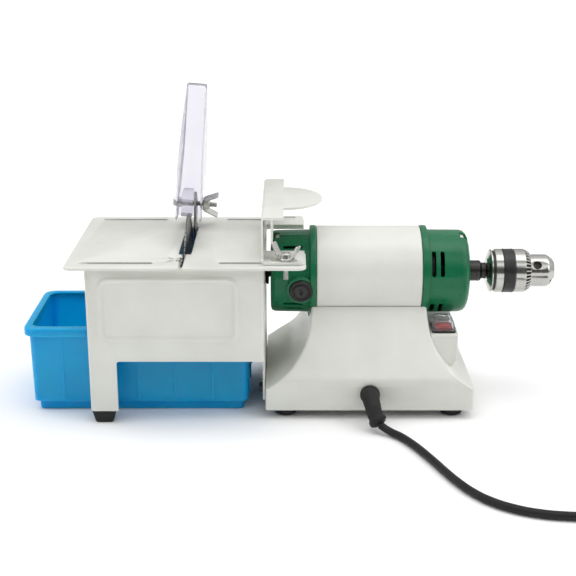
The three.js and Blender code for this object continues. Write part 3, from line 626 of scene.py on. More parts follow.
def make_cord():
    """The lead as one curve, from the strain relief over the bench and round the coil to the plug."""
    curve = bpy.data.curves.new("mains_lead", "CURVE")
    curve.dimensions = "3D"
    curve.bevel_depth = CORD_RADIUS
    curve.bevel_resolution = 6
    curve.resolution_u = 6
    curve.use_fill_caps = True
    points = CORD_ROUTE + coil_points() + LAST_TURN
    spline = curve.splines.new("BEZIER")
    spline.bezier_points.add(len(points) - 1)
    for bezier, point in zip(spline.bezier_points, points):
        bezier.co = point
        bezier.handle_left_type = "AUTO"
        bezier.handle_right_type = "AUTO"
    made = linked("mains_lead", curve)
    dressed(made, "cord_rubber")
    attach(made, "frame")
    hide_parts("cord", "cord_coil")
    return made


def make_strain_relief():
    """A collar against the casting, a tapering sleeve that droops, and a rolled ring at its end."""
    path = through([
        (72, -72, 25), (72, -80, 25), (73.2, -90, 21.5), (76, -99.5, 13), (79.6, -104.6, 8.2),
    ], 16)
    count = len(path) - 1
    radii = []
    for i in range(len(path)):
        t = i / count
        radius = 6 if t < 0.12 else 8.6 - 2.3 * (t - 0.12) / 0.88
        if 0.13 < t < 0.2:
            radius = 9.2
        ring = (t - 0.86) / 0.09
        if abs(ring) < 1:
            radius = max(radius, 5.4 + 3.1 * math.sqrt(1 - ring * ring))
        if t > 0.97:
            radius = 4.4
        radii.append(radius)
    made = soften(hose(path, radii), 0.5, 3, 30)
    return show(made, "strain_relief_boot", "black_rubber", "strain_relief", sharp=50)


def make_plug():
    """A moulded plug with two flat blades, a round earth pin and a ribbed tail."""
    x, y, z = PLUG_PLACE
    outline = rectangle(-12, 12, -10.5, 10.5, 7, 8)
    levels = []
    for position, inset in ((-18, 1.6), (-17, 0.4), (-15.6, 0), (2, 0), (6, 0.7), (9.5, 2.2), (12, 4.6)):
        shrink = [(a * (12 - inset) / 12, b * (10.5 - inset) / 10.5) for a, b in outline]
        levels.append([(position, a, b) for a, b in shrink])
    body = skinned(levels)
    for k in range(4):
        start = -9.1 + 4.4 * k
        end = start + 2.2
        groove = [(start, 11.2), (start, 40), (end, 40), (end, 11.2)]
        cut(body, turned(groove, "x", 48, tube=True))
    tail = [(10, 0), (10, 6.6)]
    for k in range(4):
        start = 12 + k * 3.4
        outer = 6.6 - 0.5 * k
        root = outer - 1.1
        tail += [(start, outer), (start + 0.3, root), (start + 1.1, root), (start + 1.4, outer - 0.1)]
    tail += [(26, 4.5), (26, 0)]
    join(body, turned(tail, "x", 48))
    soften(body, 0.35)
    moved(body, x, y, z)
    made = show(body, "plug_moulding", "black_rubber", "plug")
    blade = [(-17.4, -0.5), (-17.4, 5.8), (-34.4, 5.8), (-36, 4.6), (-36, 0.7), (-34.4, -0.5)]
    pins = [
        moved(prism(blade, -0.8, 0.8, "y", edge=0.2), x, y + side * 6.3, z)
        for side in (-1, 1)
    ]
    earth = moved(turned([(-17, 0), (-17, 2.4), (-37.6, 2.4), (-39, 1.5), (-39, 0)], "x", 32, 0.5),
                  x, y, z - 5.6)
    contacts = show(merged(*pins, earth), "plug_blades", "zinc_plate")
    return made, contacts


def make_tie():
    """A flat strap over the coil's bundle, down to the bench on both sides, with its buckle on top."""
    strap = prism(ribbon([(-46.6, 0.1), (-46.6, 21.95), (-30.0, 21.95), (-30.0, 0.1)], 1.2, 2.2),
                  -3.6, 3.6, "y", edge=0.3)
    buckle = block(-42, -34.5, -4.0, 4.0, 21.8, 22.6, 0.3)
    strap = moved(merged(strap, buckle), 306, -215, 0, (35, "Z"))
    return show(strap, "coil_tie", "black_plastic", "cord_tie")


# ---------- pedestal ----------
# The rims of the motor's end caps, which the casting's saddle follows, and the caps beyond them.
FLANGE_RADIUS, CAP_RADIUS = 43.8, 39.6
# Half the casting's width at some heights.
BASE_STEPS = [(29, 97), (35, 88), (46, 74), (56, 66), (67, 60), (78, 56.5), (92, 54.5), (104, 54)]
BASE_FRONT, SKIRT_TOP, SADDLE_TOP, SADDLE_FRONT = 74, 38, 104, 33
BASE_CORNER, BASE_WALL = 2.5, 4
SWITCH_X, SWITCH_Y, POD_TOP = 142, -35.5, 75.5
# Where the screws between the pedestal and the cabinet's wall go through, to each side of the shaft.
SIDE_SCREW_Y, SIDE_SCREW_Z = 50, 22


def base_levels(inset, corner, low, high):
    """The casting between two heights: the ends sweep in, and the front and back lean in flat."""
    steps = [(z, x) for z, x in through(BASE_STEPS, 4) if low <= z <= high]
    lean = (BASE_FRONT - SADDLE_FRONT) / (SADDLE_TOP - SKIRT_TOP)
    levels = []
    for z, x in steps:
        y = BASE_FRONT - lean * max(0, z - SKIRT_TOP) - inset
        levels.append((z, MOTOR_X - x + inset, MOTOR_X + x - inset, -y, y, corner))
    return levels


def make_pedestal():
    """The hollow casting under the motor, with the switch's pod at its right end."""
    half_x = BASE_STEPS[0][1]
    left, right = MOTOR_X - half_x, MOTOR_X + half_x
    skirt = [
        (z, left + i, right - i, i - BASE_FRONT, BASE_FRONT - i, BASE_CORNER)
        for z, i in ((8, 0.8), (8.25, 0.3), (8.8, 0), (27.6, 0))
    ]
    casting = loft(skirt + base_levels(0, BASE_CORNER, 29, SADDLE_TOP))
    pod_left, pod_right = MOTOR_X + 57.5, MOTOR_X + 83
    side = [(pod_left, POD_TOP), (pod_right, POD_TOP), (pod_right, 50), (pod_right - 4, 44), (pod_left, 44)]
    pod = prism(side, -52, 15, "y", edge=1.6, edge_steps=3)
    inner = BASE_FRONT - BASE_WALL
    hollow = loft([
        *[(z, left + BASE_WALL, right - BASE_WALL, -inner, inner, 2) for z in (2, 26)],
        *base_levels(BASE_WALL, 2, 36, 72),
    ])
    join(casting, pod)
    cut(
        casting,
        on_shaft(rod(-60, 60, FLANGE_RADIUS + 0.3, segments=128)),
        hollow,
        block(SWITCH_X - 9.5, SWITCH_X + 9.5, SWITCH_Y - 12, SWITCH_Y + 12, 50, 80),
        moved(rod(-80, -60, 6.5, "y"), MOTOR_X, 0, 25),
        *[moved(rod(-100, -90, 3), MOTOR_X, side * SIDE_SCREW_Y, SIDE_SCREW_Z) for side in (-1, 1)],
    )
    soften(casting, 1.1, 3, 35)
    show(casting, "pedestal_casting", "white_enamel", "base_casting", sharp=45)


def make_feet():
    """Turned rubber feet with a moulded step and a rounded tread."""
    profile = [
        (0.2, 0), (0, 1.0), (0, 8.6), (0.5, 9.9), (1.6, 10.7), (3.4, 11), (5.2, 11), (5.5, 10.6),
        (5.9, 10.6), (6.2, 11), (7.9, 11), (8.2, 10.6), (8.2, 0),
    ]
    for node in ("foot_front_left", "foot_front_right", "foot_back_left", "foot_back_right"):
        low, high = node_box(node)
        foot = turned(profile, "z", 64)
        moved(foot, (low.x + high.x) / 2, (low.y + high.y) / 2 - AXIS_Y, 0)
        show(foot, node + "_tread", "black_rubber", node, sharp=50)


# ---------- motor ----------
SLEEVE_HALF, SLEEVE_RADIUS = 49.2, 43.3
SCREW_ANGLE, SCREW_RING = 75, 35.5
BRUSH_X, BRUSH_ANGLE = -64, 10


def make_sleeve():
    """The rolled sleeve, its ends turned slightly in."""
    end = [(SLEEVE_HALF - 1.6, SLEEVE_RADIUS), (SLEEVE_HALF - 0.5, 43.0), (SLEEVE_HALF, 42.2)]
    outer = [(-x, radius) for x, radius in end[::-1]] + end
    inner = [(SLEEVE_HALF, 40.7), (-SLEEVE_HALF, 40.7)]
    tube = turned(outer + inner, segments=160, tube=True, edge=0.4)
    show(on_shaft(tube), "rolled_sleeve", "white_enamel", "motor_sleeve")


def screw_places():
    """Where the two long screws through the motor lie round its axis, as (y, z)."""
    angle = math.radians(SCREW_ANGLE)
    y, z = SCREW_RING * math.cos(angle), SCREW_RING * math.sin(angle)
    return [(-y, z), (y, -z)]


def screw_bosses(start, end, radius):
    return [moved(rod(start, end, radius, segments=32), 0, y, z) for y, z in screw_places()]


def screw_pockets(start, end):
    """Where each screw's head lies: a round pocket that runs out through the rim."""
    pockets = []
    for y, z in screw_places():
        pockets.append(moved(rod(start, end, 4.6, segments=32), 0, y, z))
        pockets.append(block(start, end, y - 4.6, y + 4.6, min(z, z * 1.4), max(z, z * 1.4)))
    return pockets


def straight_vent(degrees, side):
    """A slot along the shaft, with round ends."""
    vent = moved(prism(slot(-81, -62, 0, 3.5), 30, 50, "z"), turn=(90, "X"))
    return around(vent, degrees if side < 0 else 180 - degrees)


def curved_vent(x, start, end, side):
    """A slot round the shaft, with round ends."""
    radius = 2.0
    shrink = math.degrees(radius / CAP_RADIUS)
    outer = arc((0, 0), 50, 180 + start + shrink, 180 + end - shrink, 12)
    inner = arc((0, 0), 30, 180 + end - shrink, 180 + start + shrink, 12)
    vent = prism(outer + inner, x - radius, x + radius, "x")
    join(vent, *[front_rod(30, 49, radius, x, angle, 24) for angle in (start + shrink, end - shrink)])
    if side > 0:
        vent.data.transform(Matrix.Scale(-1, 4, (0, 1, 0)))
        vent.data.flip_normals()
    return vent


def brush_placed(made, side):
    """From the back, on +Y, to a brush's place on that side of the motor."""
    if side < 0:
        moved(made, turn=(180, "X"))
    return moved(moved(made, BRUSH_X), turn=(BRUSH_ANGLE, "X"))


def make_left_cap():
    """The cap over the brushes: a bearing seat, a boss for each brush, and three vents on each side."""
    cap = turned([
        (-49.5, 36.9), (-49.5, FLANGE_RADIUS), (-55.3, FLANGE_RADIUS), (-55.3, CAP_RADIUS),
        (-88.2, 38.9), (-91.2, 37.7), (-92.3, 35), (-92.3, 7),
        (-89.8, 7), (-89.8, 14.3), (-79.5, 14.3), (-79.5, 17), (-89.3, 17), (-89.3, 29), (-82, 36.6),
    ], segments=144, tube=True, edge=0.7)
    bosses = [brush_placed(rod(31, 42, 13.8, "y", 64, 1.0), side) for side in (-1, 1)]
    bores = []
    for side in (-1, 1):
        bores.append(brush_placed(rod(25, 46, 6.2, "y", 48), side))
        bores.append(brush_placed(rod(38, 46, 11.1, "y", 64), side))
    join(cap, *bosses, *screw_bosses(-84, -49.5, 4.2))
    vents = [straight_vent(angle, side) for side in (-1, 1) for angle in (36, 48.5, -51)]
    cut(cap, *bores, *vents, *screw_pockets(-98, -84), *screw_bosses(-90, -40, 2.2))
    on_shaft(soften(cap, 0.45, 2, 32))
    show(cap, "brush_end_cap", "green_enamel", "end_cap_left", sharp=40)


def make_right_cap():
    """The cap over the fan, with two rows of curved vents on each side."""
    cap = turned([
        (49.5, 36.9), (84, 36.5), (91.7, 29), (91.7, 17), (79.5, 17), (79.5, 14.3), (92.2, 14.3),
        (92.2, 10.6), (94.7, 10.6), (94.7, 29.5), (94.2, 33.2), (92.7, 36.4), (90.3, 38.5), (87, 39.4),
        (55.3, CAP_RADIUS), (55.3, FLANGE_RADIUS), (49.5, FLANGE_RADIUS),
    ], segments=144, tube=True, edge=0.7)
    join(cap, *screw_bosses(49.5, 86, 4.2))
    vents = [
        curved_vent(x, start, end, side)
        for side in (-1, 1) for x in (60, 68) for start, end in ((-44, -8), (36, 64))
    ]
    cut(cap, *vents, *screw_pockets(86, 98), *screw_bosses(40, 92, 2.2))
    on_shaft(soften(cap, 0.45, 2, 32))
    show(cap, "fan_end_cap", "green_enamel", "end_cap_right", sharp=40)


def make_cap_screws():
    """Slotted screws on a washer, in the caps' pockets."""
    profile = [
        (-30, 0), (-30, 1.9), (0, 1.9), (0, 4.2), (0.7, 4.2), (0.7, 3.7), (2.4, 3.7), (3.3, 2.7), (3.4, 0),
    ]
    for end, seat, turn in (("right", 86.3, 0), ("left", -84.3, 180)):
        for i, (y, z) in enumerate(screw_places()):
            screw = turned(profile, segments=48, edge=0.25)
            cut(screw, block(2.3, 5, -0.5, 0.5, -6, 6))
            moved(soften(screw, 0.12), turn=(turn, "Z"))
            node = f"cap_screw_{end}_{i + 1}"
            show(on_shaft(moved(screw, seat, y, z)), node + "_head", "zinc_plate", node, sharp=40)


def make_brush_caps():
    """Screwed plastic caps with a dished face, a screwdriver slot and a fine ridge round the rim."""
    for name, side in (("brush_cap_front", -1), ("brush_cap_back", 1)):
        cap = turned([
            (38.3, 0), (38.3, 10.8), (43.4, 10.8), (44.5, 10.2), (44.6, 9.4), (43.4, 8.6), (42.9, 7.6),
            (43.2, 6.9), (44.2, 6.3), (44.3, 2.4), (43.7, 1.8), (43.6, 0),
        ], "y", 96, 0.25)
        cut(cap, block(-0.9, 0.9, 42.2, 47, -3.4, 3.4))
        on_shaft(brush_placed(soften(cap, 0.12), side))
        show(cap, name + "_dished", "grey_plastic", name, body=name, sharp=40)


# ---------- spindle ----------
def make_shaft():
    """The stepped shaft, from the arbor to the chuck, and the slinger ring beside the motor."""
    shaft = turned([
        (-192, 0), (-192, 3.9), (-191.2, 5), (-177.2, 5), (-177.2, 6), (91, 6), (91, 9.1), (91.8, 9.9),
        (107.4, 9.9), (108.6, 9.0), (109.2, 7.7), (113.6, 7.7), (113.6, 5.5), (126, 5), (126, 0),
    ], segments=96, edge=0.3)
    show(on_shaft(shaft), "spindle_shaft", "blackened_steel", "shaft", body="spindle")
    slinger = turned([
        (-97.2, 6.3), (-97.2, 11.2), (-96.7, 12.6), (-95.8, 13), (-94.8, 13), (-94.4, 12.4), (-94.4, 6.3),
    ], segments=96, tube=True, edge=0.25)
    show(on_shaft(slinger), "slinger_ring", "black_rubber", "shaft_slinger", body="spindle")


BLADE_X = -99
BLADE_RADIUS, BLADE_THICK = 55, 1.2


def make_blade():
    """A notched-rim diamond blade: a steel core with a sintered rim and short cuts in its edge."""
    rim = BLADE_THICK / 2
    core = rim - 0.12
    notches = 64

    def reach(position, radius, angle):
        share = (angle * notches / (2 * math.pi)) % 1
        return radius - (1.6 if radius > 54 and share > 0.86 else 0)

    disc = turned([
        (-core, 6.3), (-core, 47.6), (-core, 47.8), (-rim, 48.2), (-rim, 54.7), (-rim + 0.2, BLADE_RADIUS),
        (rim - 0.2, BLADE_RADIUS), (rim, 54.7), (rim, 48.2), (core, 47.8), (core, 47.6), (core, 6.3),
    ], segments=notches * 8, tube=True, reach=reach)
    moved(disc, BLADE_X, 0, AXIS_Z)
    show(disc, "diamond_blade", "lathe_steel", "saw_blade", body="spindle", sharp=25)
    for name, side in (("flange_inner", 1), ("flange_outer", -1)):
        face = side * (rim + 0.3)
        dish = [(0, 6.3), (0, 18), (2.5, 18), (3.4, 16.4), (5.9, 12), (5.9, 6.3)]
        profile = [(face + side * depth, radius) for depth, radius in dish]
        flange = turned(profile, segments=96, tube=True, edge=0.4)
        show(moved(flange, BLADE_X, 0, AXIS_Z), name + "_dished", "steel", name, body="spindle")


def make_arbor_nut():
    """A chamfered hexagon nut that holds the blade."""
    low, high = node_box("arbor_nut")
    length = high.x - low.x
    nut = turned([(0, 0), (0, 9.8), (length, 9.8), (length, 0)], segments=6)
    dome = turned([
        (-1, 0), (-1, 8.9), (0.3, 8.9), (2.4, 11.2), (length + 1, 11.2), (length + 1, 0),
    ], segments=72)
    combine(nut, "INTERSECT", [dome])
    cut(nut, rod(-3, length + 3, 5.3, segments=64))
    soften(nut, 0.25, 2, 25)
    show(moved(nut, low.x, 0, AXIS_Z), "hex_nut", "zinc_plate", "arbor_nut", body="arbor_nut")


# ---------- drill chuck ----------
KEY_ANGLES = (36, 156, 276)
JAW_ANGLES = (84, 204, 324)
KEY_HOLE_X, CHUCK_END = 161, 178


def make_chuck():
    """A keyed drill chuck: the body with its jaws, and the geared sleeve with its grip band."""
    body = turned([
        (113.9, 0), (113.9, 12), (114.4, 13.2), (116.8, 19.6), (117.6, 20.4), (118.7, 20.6), (118.7, 15),
        (152.8, 15), (154.8, 15.6), (170.9, 15.6), (172.2, 15.2), (177.2, 11.8), (CHUCK_END, 10.8),
        (CHUCK_END, 0),
    ], segments=128, edge=0.35)
    key_holes = [front_rod(9, 22, 4.1, KEY_HOLE_X, -a) for a in KEY_ANGLES]
    jaw_ways = [around(block(140, 182, -14.2, 0, -3, 3), -a) for a in JAW_ANGLES]
    cut(body, rod(105, 128, 5.9), rod(140, 184, 5), *key_holes, *jaw_ways)
    soften(body, 0.3, 2, 32)
    show(on_shaft(body), "chuck_nose", "chrome_plate", "chuck_body", body="spindle", sharp=30)
    # A dark disc sunk in each key hole: painted shade that stands for the hole's dark depth.
    for i, angle in enumerate(KEY_ANGLES):
        hole_shade = on_shaft(front_rod(10.4, 11.6, 4.0, KEY_HOLE_X, -angle))
        show(hole_shade, f"key_hole_{i + 1}", "blackened_steel", "chuck_body", body="spindle")
    # A dark ring in the groove behind the sleeve: painted shade in the groove.
    groove = turned([(118.9, 14.6), (118.9, 19.2), (120.6, 19.2), (120.6, 14.6)],
                    segments=96, tube=True)
    show(on_shaft(groove), "chuck_groove_shade", "blackened_steel", "chuck_body", body="spindle")

    teeth = 36

    def toothed(position, radius, angle):
        if position < 149.6 or radius < 17.2:
            return radius
        share = abs((angle * teeth / (2 * math.pi)) % 1 - 0.5) * 2
        return radius - (radius - 17.0) * ease((share - 0.3) / 0.3)

    sleeve = turned([
        (121, 15.3), (121, 20.0), (121.6, 20.8), (122.4, 21), (128.2, 21), (128.6, 20.6), (128.6, 19.6),
        (139.7, 19.6), (139.7, 20.6), (140.1, 21), (149.5, 21), (149.7, 20.9), (150.6, 20.4), (151.8, 19.7),
        (153.4, 18.7), (154.4, 18.0), (154.8, 17.7), (155, 17.3), (155, 16), (152.4, 15.3),
    ], segments=teeth * 12, tube=True, reach=toothed)
    on_shaft(sleeve)
    show(sleeve, "chuck_geared_sleeve", "chrome_plate", "chuck_sleeve", body="chuck_collar", sharp=30)
    # A dark ring under the sleeve's teeth: painted shade in the gaps between the teeth, with some grime.
    tooth_gap_grime_and_shade = turned([(149.4, 16), (149.4, 17.3), (154.5, 17.3), (154.5, 16)],
                   segments=128, tube=True)
    show(on_shaft(tooth_gap_grime_and_shade), "chuck_tooth_gap_grime_and_shade", "blackened_steel", "chuck_sleeve", body="chuck_collar")

    band = turned([
        (128.9, 19.9), (128.9, 20.7), (129.4, 21.1), (130.0, 21.2), (130.6, 21.0), (137.7, 21.0),
        (138.3, 21.2), (138.9, 21.1), (139.4, 20.7), (139.4, 19.9),
    ], segments=128, tube=True)
    show(on_shaft(band), "chuck_grip_band", "black_plastic", "chuck_band", body="chuck_collar")

    for i, angle in enumerate(JAW_ANGLES):
        jaw = prism([(-8.6, -2.6), (-4.2, -2.6), (-1.9, -0.9), (-1.9, 0.9), (-4.2, 2.6), (-8.6, 2.6)],
                    142, CHUCK_END - 0.5, "x", edge=0.3)
        cut(jaw, *[moved(block(-0.4, 0.4, -9, 9, -9, 9), 150 + 3 * k, -12.2, 0) for k in range(9)])
        around(jaw, -angle)
        name = f"chuck_jaw_{i + 1}"
        show(on_shaft(jaw), name + "_toothed", "blackened_steel", name, body=f"jaw_{i + 1}", sharp=40)


# ---------- sawing cabinet ----------
TABLE = {"left": -203, "right": 12, "front": -94, "back": 84, "top": 153, "thick": 2.5}
CABINET = {"left": -186, "right": -25.5, "front": -84, "back": 82, "sheet": 2, "top": 150.2}
# The frame pressed into the cabinet's front: its middle, its half sizes and its ridge.
PRESSED_X, PRESSED_Z, PRESSED_HALF_X, PRESSED_HALF_Z = -111.5, 110.5, 61.2, 28.2
PRESSED_CORNER, RIDGE_HEIGHT, GRID_STEP = 8.0, 2.0, 1.1
SLOT_WIDTH = 5.4
FRONT_SLOT_Y, BACK_SLOT_Y = -77, 75


def make_table():
    """The sheet-steel table, with its blade opening, kerf and fence slots."""
    t = TABLE
    kerf_left, kerf_right = BLADE_X - 1.4, BLADE_X + 1.4
    # (x, y, how round the corner is)
    outline = corner_rounded([
        (kerf_right, t["front"], 0.8), (t["right"], t["front"], 7), (t["right"], -46, 1.5), (-24.8, -46, 3),
        (-24.8, 46, 3), (t["right"], 46, 1.5), (t["right"], t["back"], 7), (t["left"], t["back"], 7),
        (t["left"], t["front"], 7), (kerf_left, t["front"], 0.8), (kerf_left, -50, 0.4), (-104, -50, 0.8),
        (-104, 48, 0.8), (-92.5, 48, 0.8), (-92.5, -50, 0.8), (kerf_right, -50, 0.4),
    ])
    holes = [slot(*ends, y, SLOT_WIDTH)
             for y in (FRONT_SLOT_Y, BACK_SLOT_Y) for ends in ((-190, -125), (-66, 4))]
    for side_x in (-1, 1):
        for side_y in (-1, 1):
            turn = Matrix.Rotation(side_x * side_y * math.pi / 4, 2)
            centre = Vector((-106.5 + side_x * 3.6, -66 + side_y * 4))
            holes.append([tuple(turn @ Vector(p) + centre) for p in slot(-3.6, 3.6, 0, 2.6, 4)])
    table = prism(outline, t["top"] - t["thick"], t["top"], "z", holes=holes, edge=0.7)
    show(table, "saw_table", "white_enamel", "table", sharp=50)


def on_front(y):
    return y < CABINET["front"] + 0.01


def pressed(x, z):
    """How far the cabinet's front stands out: a soft ridge along a rounded rectangle."""
    away_x = abs(x - PRESSED_X) - PRESSED_HALF_X + PRESSED_CORNER
    away_z = abs(z - PRESSED_Z) - PRESSED_HALF_Z + PRESSED_CORNER
    outside = math.hypot(max(away_x, 0), max(away_z, 0)) + min(max(away_x, away_z), 0) - PRESSED_CORNER
    return RIDGE_HEIGHT * ease((3.3 - abs(outside)) / 2.3)


def make_mantle():
    """The cabinet's sheet before its windows are cut, with a fine grid over the pressed front."""
    c = CABINET
    plan = rectangle(c["left"], c["right"], c["front"], c["back"], 3.2, 6)
    line = []
    for i, point in enumerate(plan):
        after = plan[(i + 1) % len(plan)]
        length = (Vector(after) - Vector(point)).length
        pieces = max(1, round(length / GRID_STEP)) if on_front(point[1]) and on_front(after[1]) else 1
        line += [tuple(Vector(point).lerp(Vector(after), k / pieces)) for k in range(pieces)]
    heights = [12.0] + [62 + k * GRID_STEP for k in range(80)] + [c["top"]]
    outside, inside = [], []
    for rings, inset in ((outside, 0.0), (inside, c["sheet"])):
        for z in heights:
            ring = []
            for i, (x, y) in enumerate(line):
                ahead = (Vector(line[(i + 1) % len(line)]) - Vector(line[i - 1])).normalized()
                out = pressed(x, z) if on_front(y) else 0.0
                ring.append((x - ahead.y * inset, y + ahead.x * inset - out, z))
            rings.append(ring)
    return skinned(outside + inside[::-1], closed=True)


def window(start, end, height, start_corner, end_corner):
    """An opening from the bench up, with a radius of its own for each upper corner."""
    return corner_rounded([
        (start, 0, 0.1), (start, height, start_corner), (end, height, end_corner), (end, 0, 0.1),
    ])


def make_cabinet():
    """One folded sheet: front, left side, back and right wall, with a frame pressed into the front."""
    cabinet = make_mantle()
    left, right, front, back = (CABINET[side] for side in ("left", "right", "front", "back"))
    face_window = window(left + 25.5, right + 4, 61, 3, 0.1)
    left_window = window(front + 20, back - 20, 92, 6, 6)
    wall_sides = [window(side * 62, side * 110, 61, 8, 0.1) for side in (-1, 1)]
    cut(
        cabinet,
        prism(face_window, front - 5, front + 4.5, "y"),
        prism(face_window, back - 4.5, back + 5, "y"),
        prism(left_window, left - 5, left + 5, "x"),
        *[prism(outline, right - 4.5, right + 5, "x") for outline in wall_sides],
        block(right - 4, right + 4, -200, 200, 0, 14),
        moved(rod(right - 8, right + 5, 9, segments=72), 0, 0, AXIS_Z),
        *[moved(rod(right - 8, right + 5, 3), 0, side * SIDE_SCREW_Y, SIDE_SCREW_Z) for side in (-1, 1)],
        *[block(right - 6, right + 5, y - 5, y + 5, 133, 160) for y in (FRONT_SLOT_Y, BACK_SLOT_Y)],
    )
    join(cabinet, *[
        block(left + 0.6, left + 22.6, y + 0.6, y + 19.4, 12.0, 14.0, 0.6) for y in (front, back - 20)
    ])
    soften(cabinet, 0.45, 2, 50)
    show(cabinet, "folded_cabinet", "white_enamel", "cabinet", sharp=35)
    make_cabinet_feet()
    make_side_screws()


def make_cabinet_feet():
    """Tapering rubber feet; each level is (height, share of the foot's full width)."""
    levels = [(0, 0.74), (0.4, 0.77), (1.4, 0.795), (6, 0.88), (10.4, 0.98), (11.3, 0.995), (11.7, 0.96)]
    for node in ("cabinet_foot_front", "cabinet_foot_back"):
        low, high = node_box(node)
        middle_x, middle_y = (low.x + high.x) / 2, (low.y + high.y) / 2 - AXIS_Y
        half_x, half_y = (high.x - low.x) / 2, (high.y - low.y) / 2
        foot = loft([(z, -half_x * s, half_x * s, -half_y * s, half_y * s, 3.2) for z, s in levels])
        moved(foot, middle_x, middle_y)
        show(foot, node + "_tread", "black_rubber", node, sharp=50)


def make_side_screws():
    """Cross-head screws through the cabinet's wall into the pedestal."""
    for name, side in (("side_screw_front", -1), ("side_screw_back", 1)):
        screw = turned([
            (-14, 0), (-14, 2.6), (-0.3, 2.6), (0, 5.2), (1.4, 5.1), (2.8, 4.3), (3.4, 2.8), (3.4, 0),
        ], segments=64, edge=0.2)
        cut(screw, block(1.6, 5, -0.6, 0.6, -3, 3), block(1.6, 5, -3, 3, -0.6, 0.6))
        moved(soften(screw, 0.12), turn=(180, "Z"))
        moved(screw, CABINET["right"] - CABINET["sheet"] - 0.3, side * SIDE_SCREW_Y, SIDE_SCREW_Z)
        show(screw, name + "_head", "blackened_steel", name, body=name, sharp=40)


# ---------- blade guard ----------
PIVOT = (-94, 50, 176)
GUARD_LEAN = 5
HOOD_LEFT, HOOD_RIGHT, HOOD_WALL, HOOD_LENGTH = -19.6, 6, 1.6, 119
# The hood's side view while it is raised, as (y, z) from its pivot: up the back, then down the open front.
HOOD_BACK = [(15, -17), (24, 8), (33, 36), (31, 58), (19, 86), (6, 110), (-1, 118)]
HOOD_FRONT = [(-9, 117), (-23, 88), (-34, 56), (-33, 40), (-24, 18), (-16, 0), (-12, -16)]


def guard_placed(made):
    """From the guard's own pivot to its raised place in the machine."""
    return moved(made, *PIVOT, turn=(GUARD_LEAN, "Y"))


def hood_side(inset, reach=0):
    """The hood's side view drawn in by its wall, and run out past the open edges by the reach."""
    back = [(y - inset, z - inset * 0.6) for y, z in HOOD_BACK]
    front = [(y - reach, z - inset * 0.6) for y, z in HOOD_FRONT]
    low = [(front[-1][0], front[-1][1] - reach), (back[0][0], back[0][1] - reach)]
    return through(back, 6) + through(front, 6) + (low if reach else [])


def slice_tall(made):
    """Adds levels up a tall shape, so that its taper bends smoothly."""
    with edited(made.data) as work:
        for z in range(0, 120, 10):
            parts = work.verts[:] + work.edges[:] + work.faces[:]
            bmesh.ops.bisect_plane(work, geom=parts, plane_co=(0, 0, z), plane_no=(0, 0, 1))


def tapered(made):
    """Draws the hood's two cheeks together towards its tip."""
    slice_tall(made)
    middle = (HOOD_LEFT + HOOD_RIGHT) / 2
    for vertex in made.data.vertices:
        shrink = 1 - 0.254 * (max(0.0, vertex.co.z) / HOOD_LENGTH) ** 1.6
        vertex.co.x = middle + (vertex.co.x - middle) * shrink
    return made


def thread(start, end, radius, pitch):
    """A fine thread, as grooves in a profile."""
    count = int((end - start) / pitch)
    points = []
    for k in range(count):
        points += [(start + k * pitch, radius), (start + (k + 0.5) * pitch, radius - 0.28)]
    return points + [(end, radius)]


def wing_nut():
    """A pressed wing nut seated at x = 0: a drawn hub with two flat wings folded up from its skirt."""
    nut = turned([
        (0, 0), (0, 6.0), (0.5, 6.4), (1.4, 6.3), (2.2, 5.6), (5.4, 4.7), (6.4, 4.2), (6.8, 3.5), (6.8, 0),
    ], segments=64)
    for side in (-1, 1):
        outline = ribbon([(1.0, side * 3), (1.5, side * 6.4), (14.6, side * 13.8)], 1.7, 2.4)
        wing = prism(outline, -3.6, 3.6, "z", edge=0.35)
        tips = rounded([(-2, -3.6), (15.4, -3.6), (15.4, 3.6), (-2, 3.6)], 2.0)
        combine(wing, "INTERSECT", [moved(prism(tips, -16, 16), turn=(90, "X"))])
        join(nut, wing)
    melted(nut, 0.3, 1)
    return cut(nut, rod(-1, 9, 2.7, segments=40))


def make_guard():
    make_hood()
    make_carrier()
    bolt = turned([
        (HOOD_LEFT - 3.5, 0), (HOOD_LEFT - 3.5, 3.4), (HOOD_LEFT - 2.7, 4.4), (HOOD_LEFT - 0.3, 4.6),
        (HOOD_LEFT - 0.3, 2.4), *thread(-4, 19.2, 2.4, 0.7), (20, 1.6), (20, 0),
    ], segments=48)
    cut(bolt, block(HOOD_LEFT - 5, HOOD_LEFT - 2.4, -0.5, 0.5, -6, 6))
    show(guard_placed(bolt), "hood_bolt", "zinc_plate", "guard_bolt", sharp=35)
    nut = moved(wing_nut(), HOOD_RIGHT + 0.3, 0, 0, (-60, "X"))
    show(guard_placed(nut), "hood_wing_nut", "zinc_plate", "guard_wing_nut", body="guard_nut", sharp=40)


def make_hood():
    """The clear hood: two cheeks joined by a bent back, on a block that the bolt passes through."""
    hood = prism(hood_side(0), HOOD_LEFT, HOOD_RIGHT, "x", edge=2.0, edge_steps=4)
    room = prism(hood_side(HOOD_WALL, 14), HOOD_LEFT + HOOD_WALL, HOOD_RIGHT - HOOD_WALL, "x",
                 edge=1.0, edge_steps=3)
    cut(tapered(hood), tapered(room))
    boss = block(-14.5, -3.4, -9, 10, -12.5, 12.5, 1.2)
    spacer = rod(HOOD_LEFT + 0.8, -14, 5.2, segments=40)
    join(hood, boss, spacer)
    cut(hood, rod(HOOD_LEFT - 2, HOOD_RIGHT + 2, 2.9))
    soften(hood, 0.35, 2, 50)
    show(guard_placed(hood), "clear_hood", "clear_plastic", "guard_hood", body="guard", sharp=40)


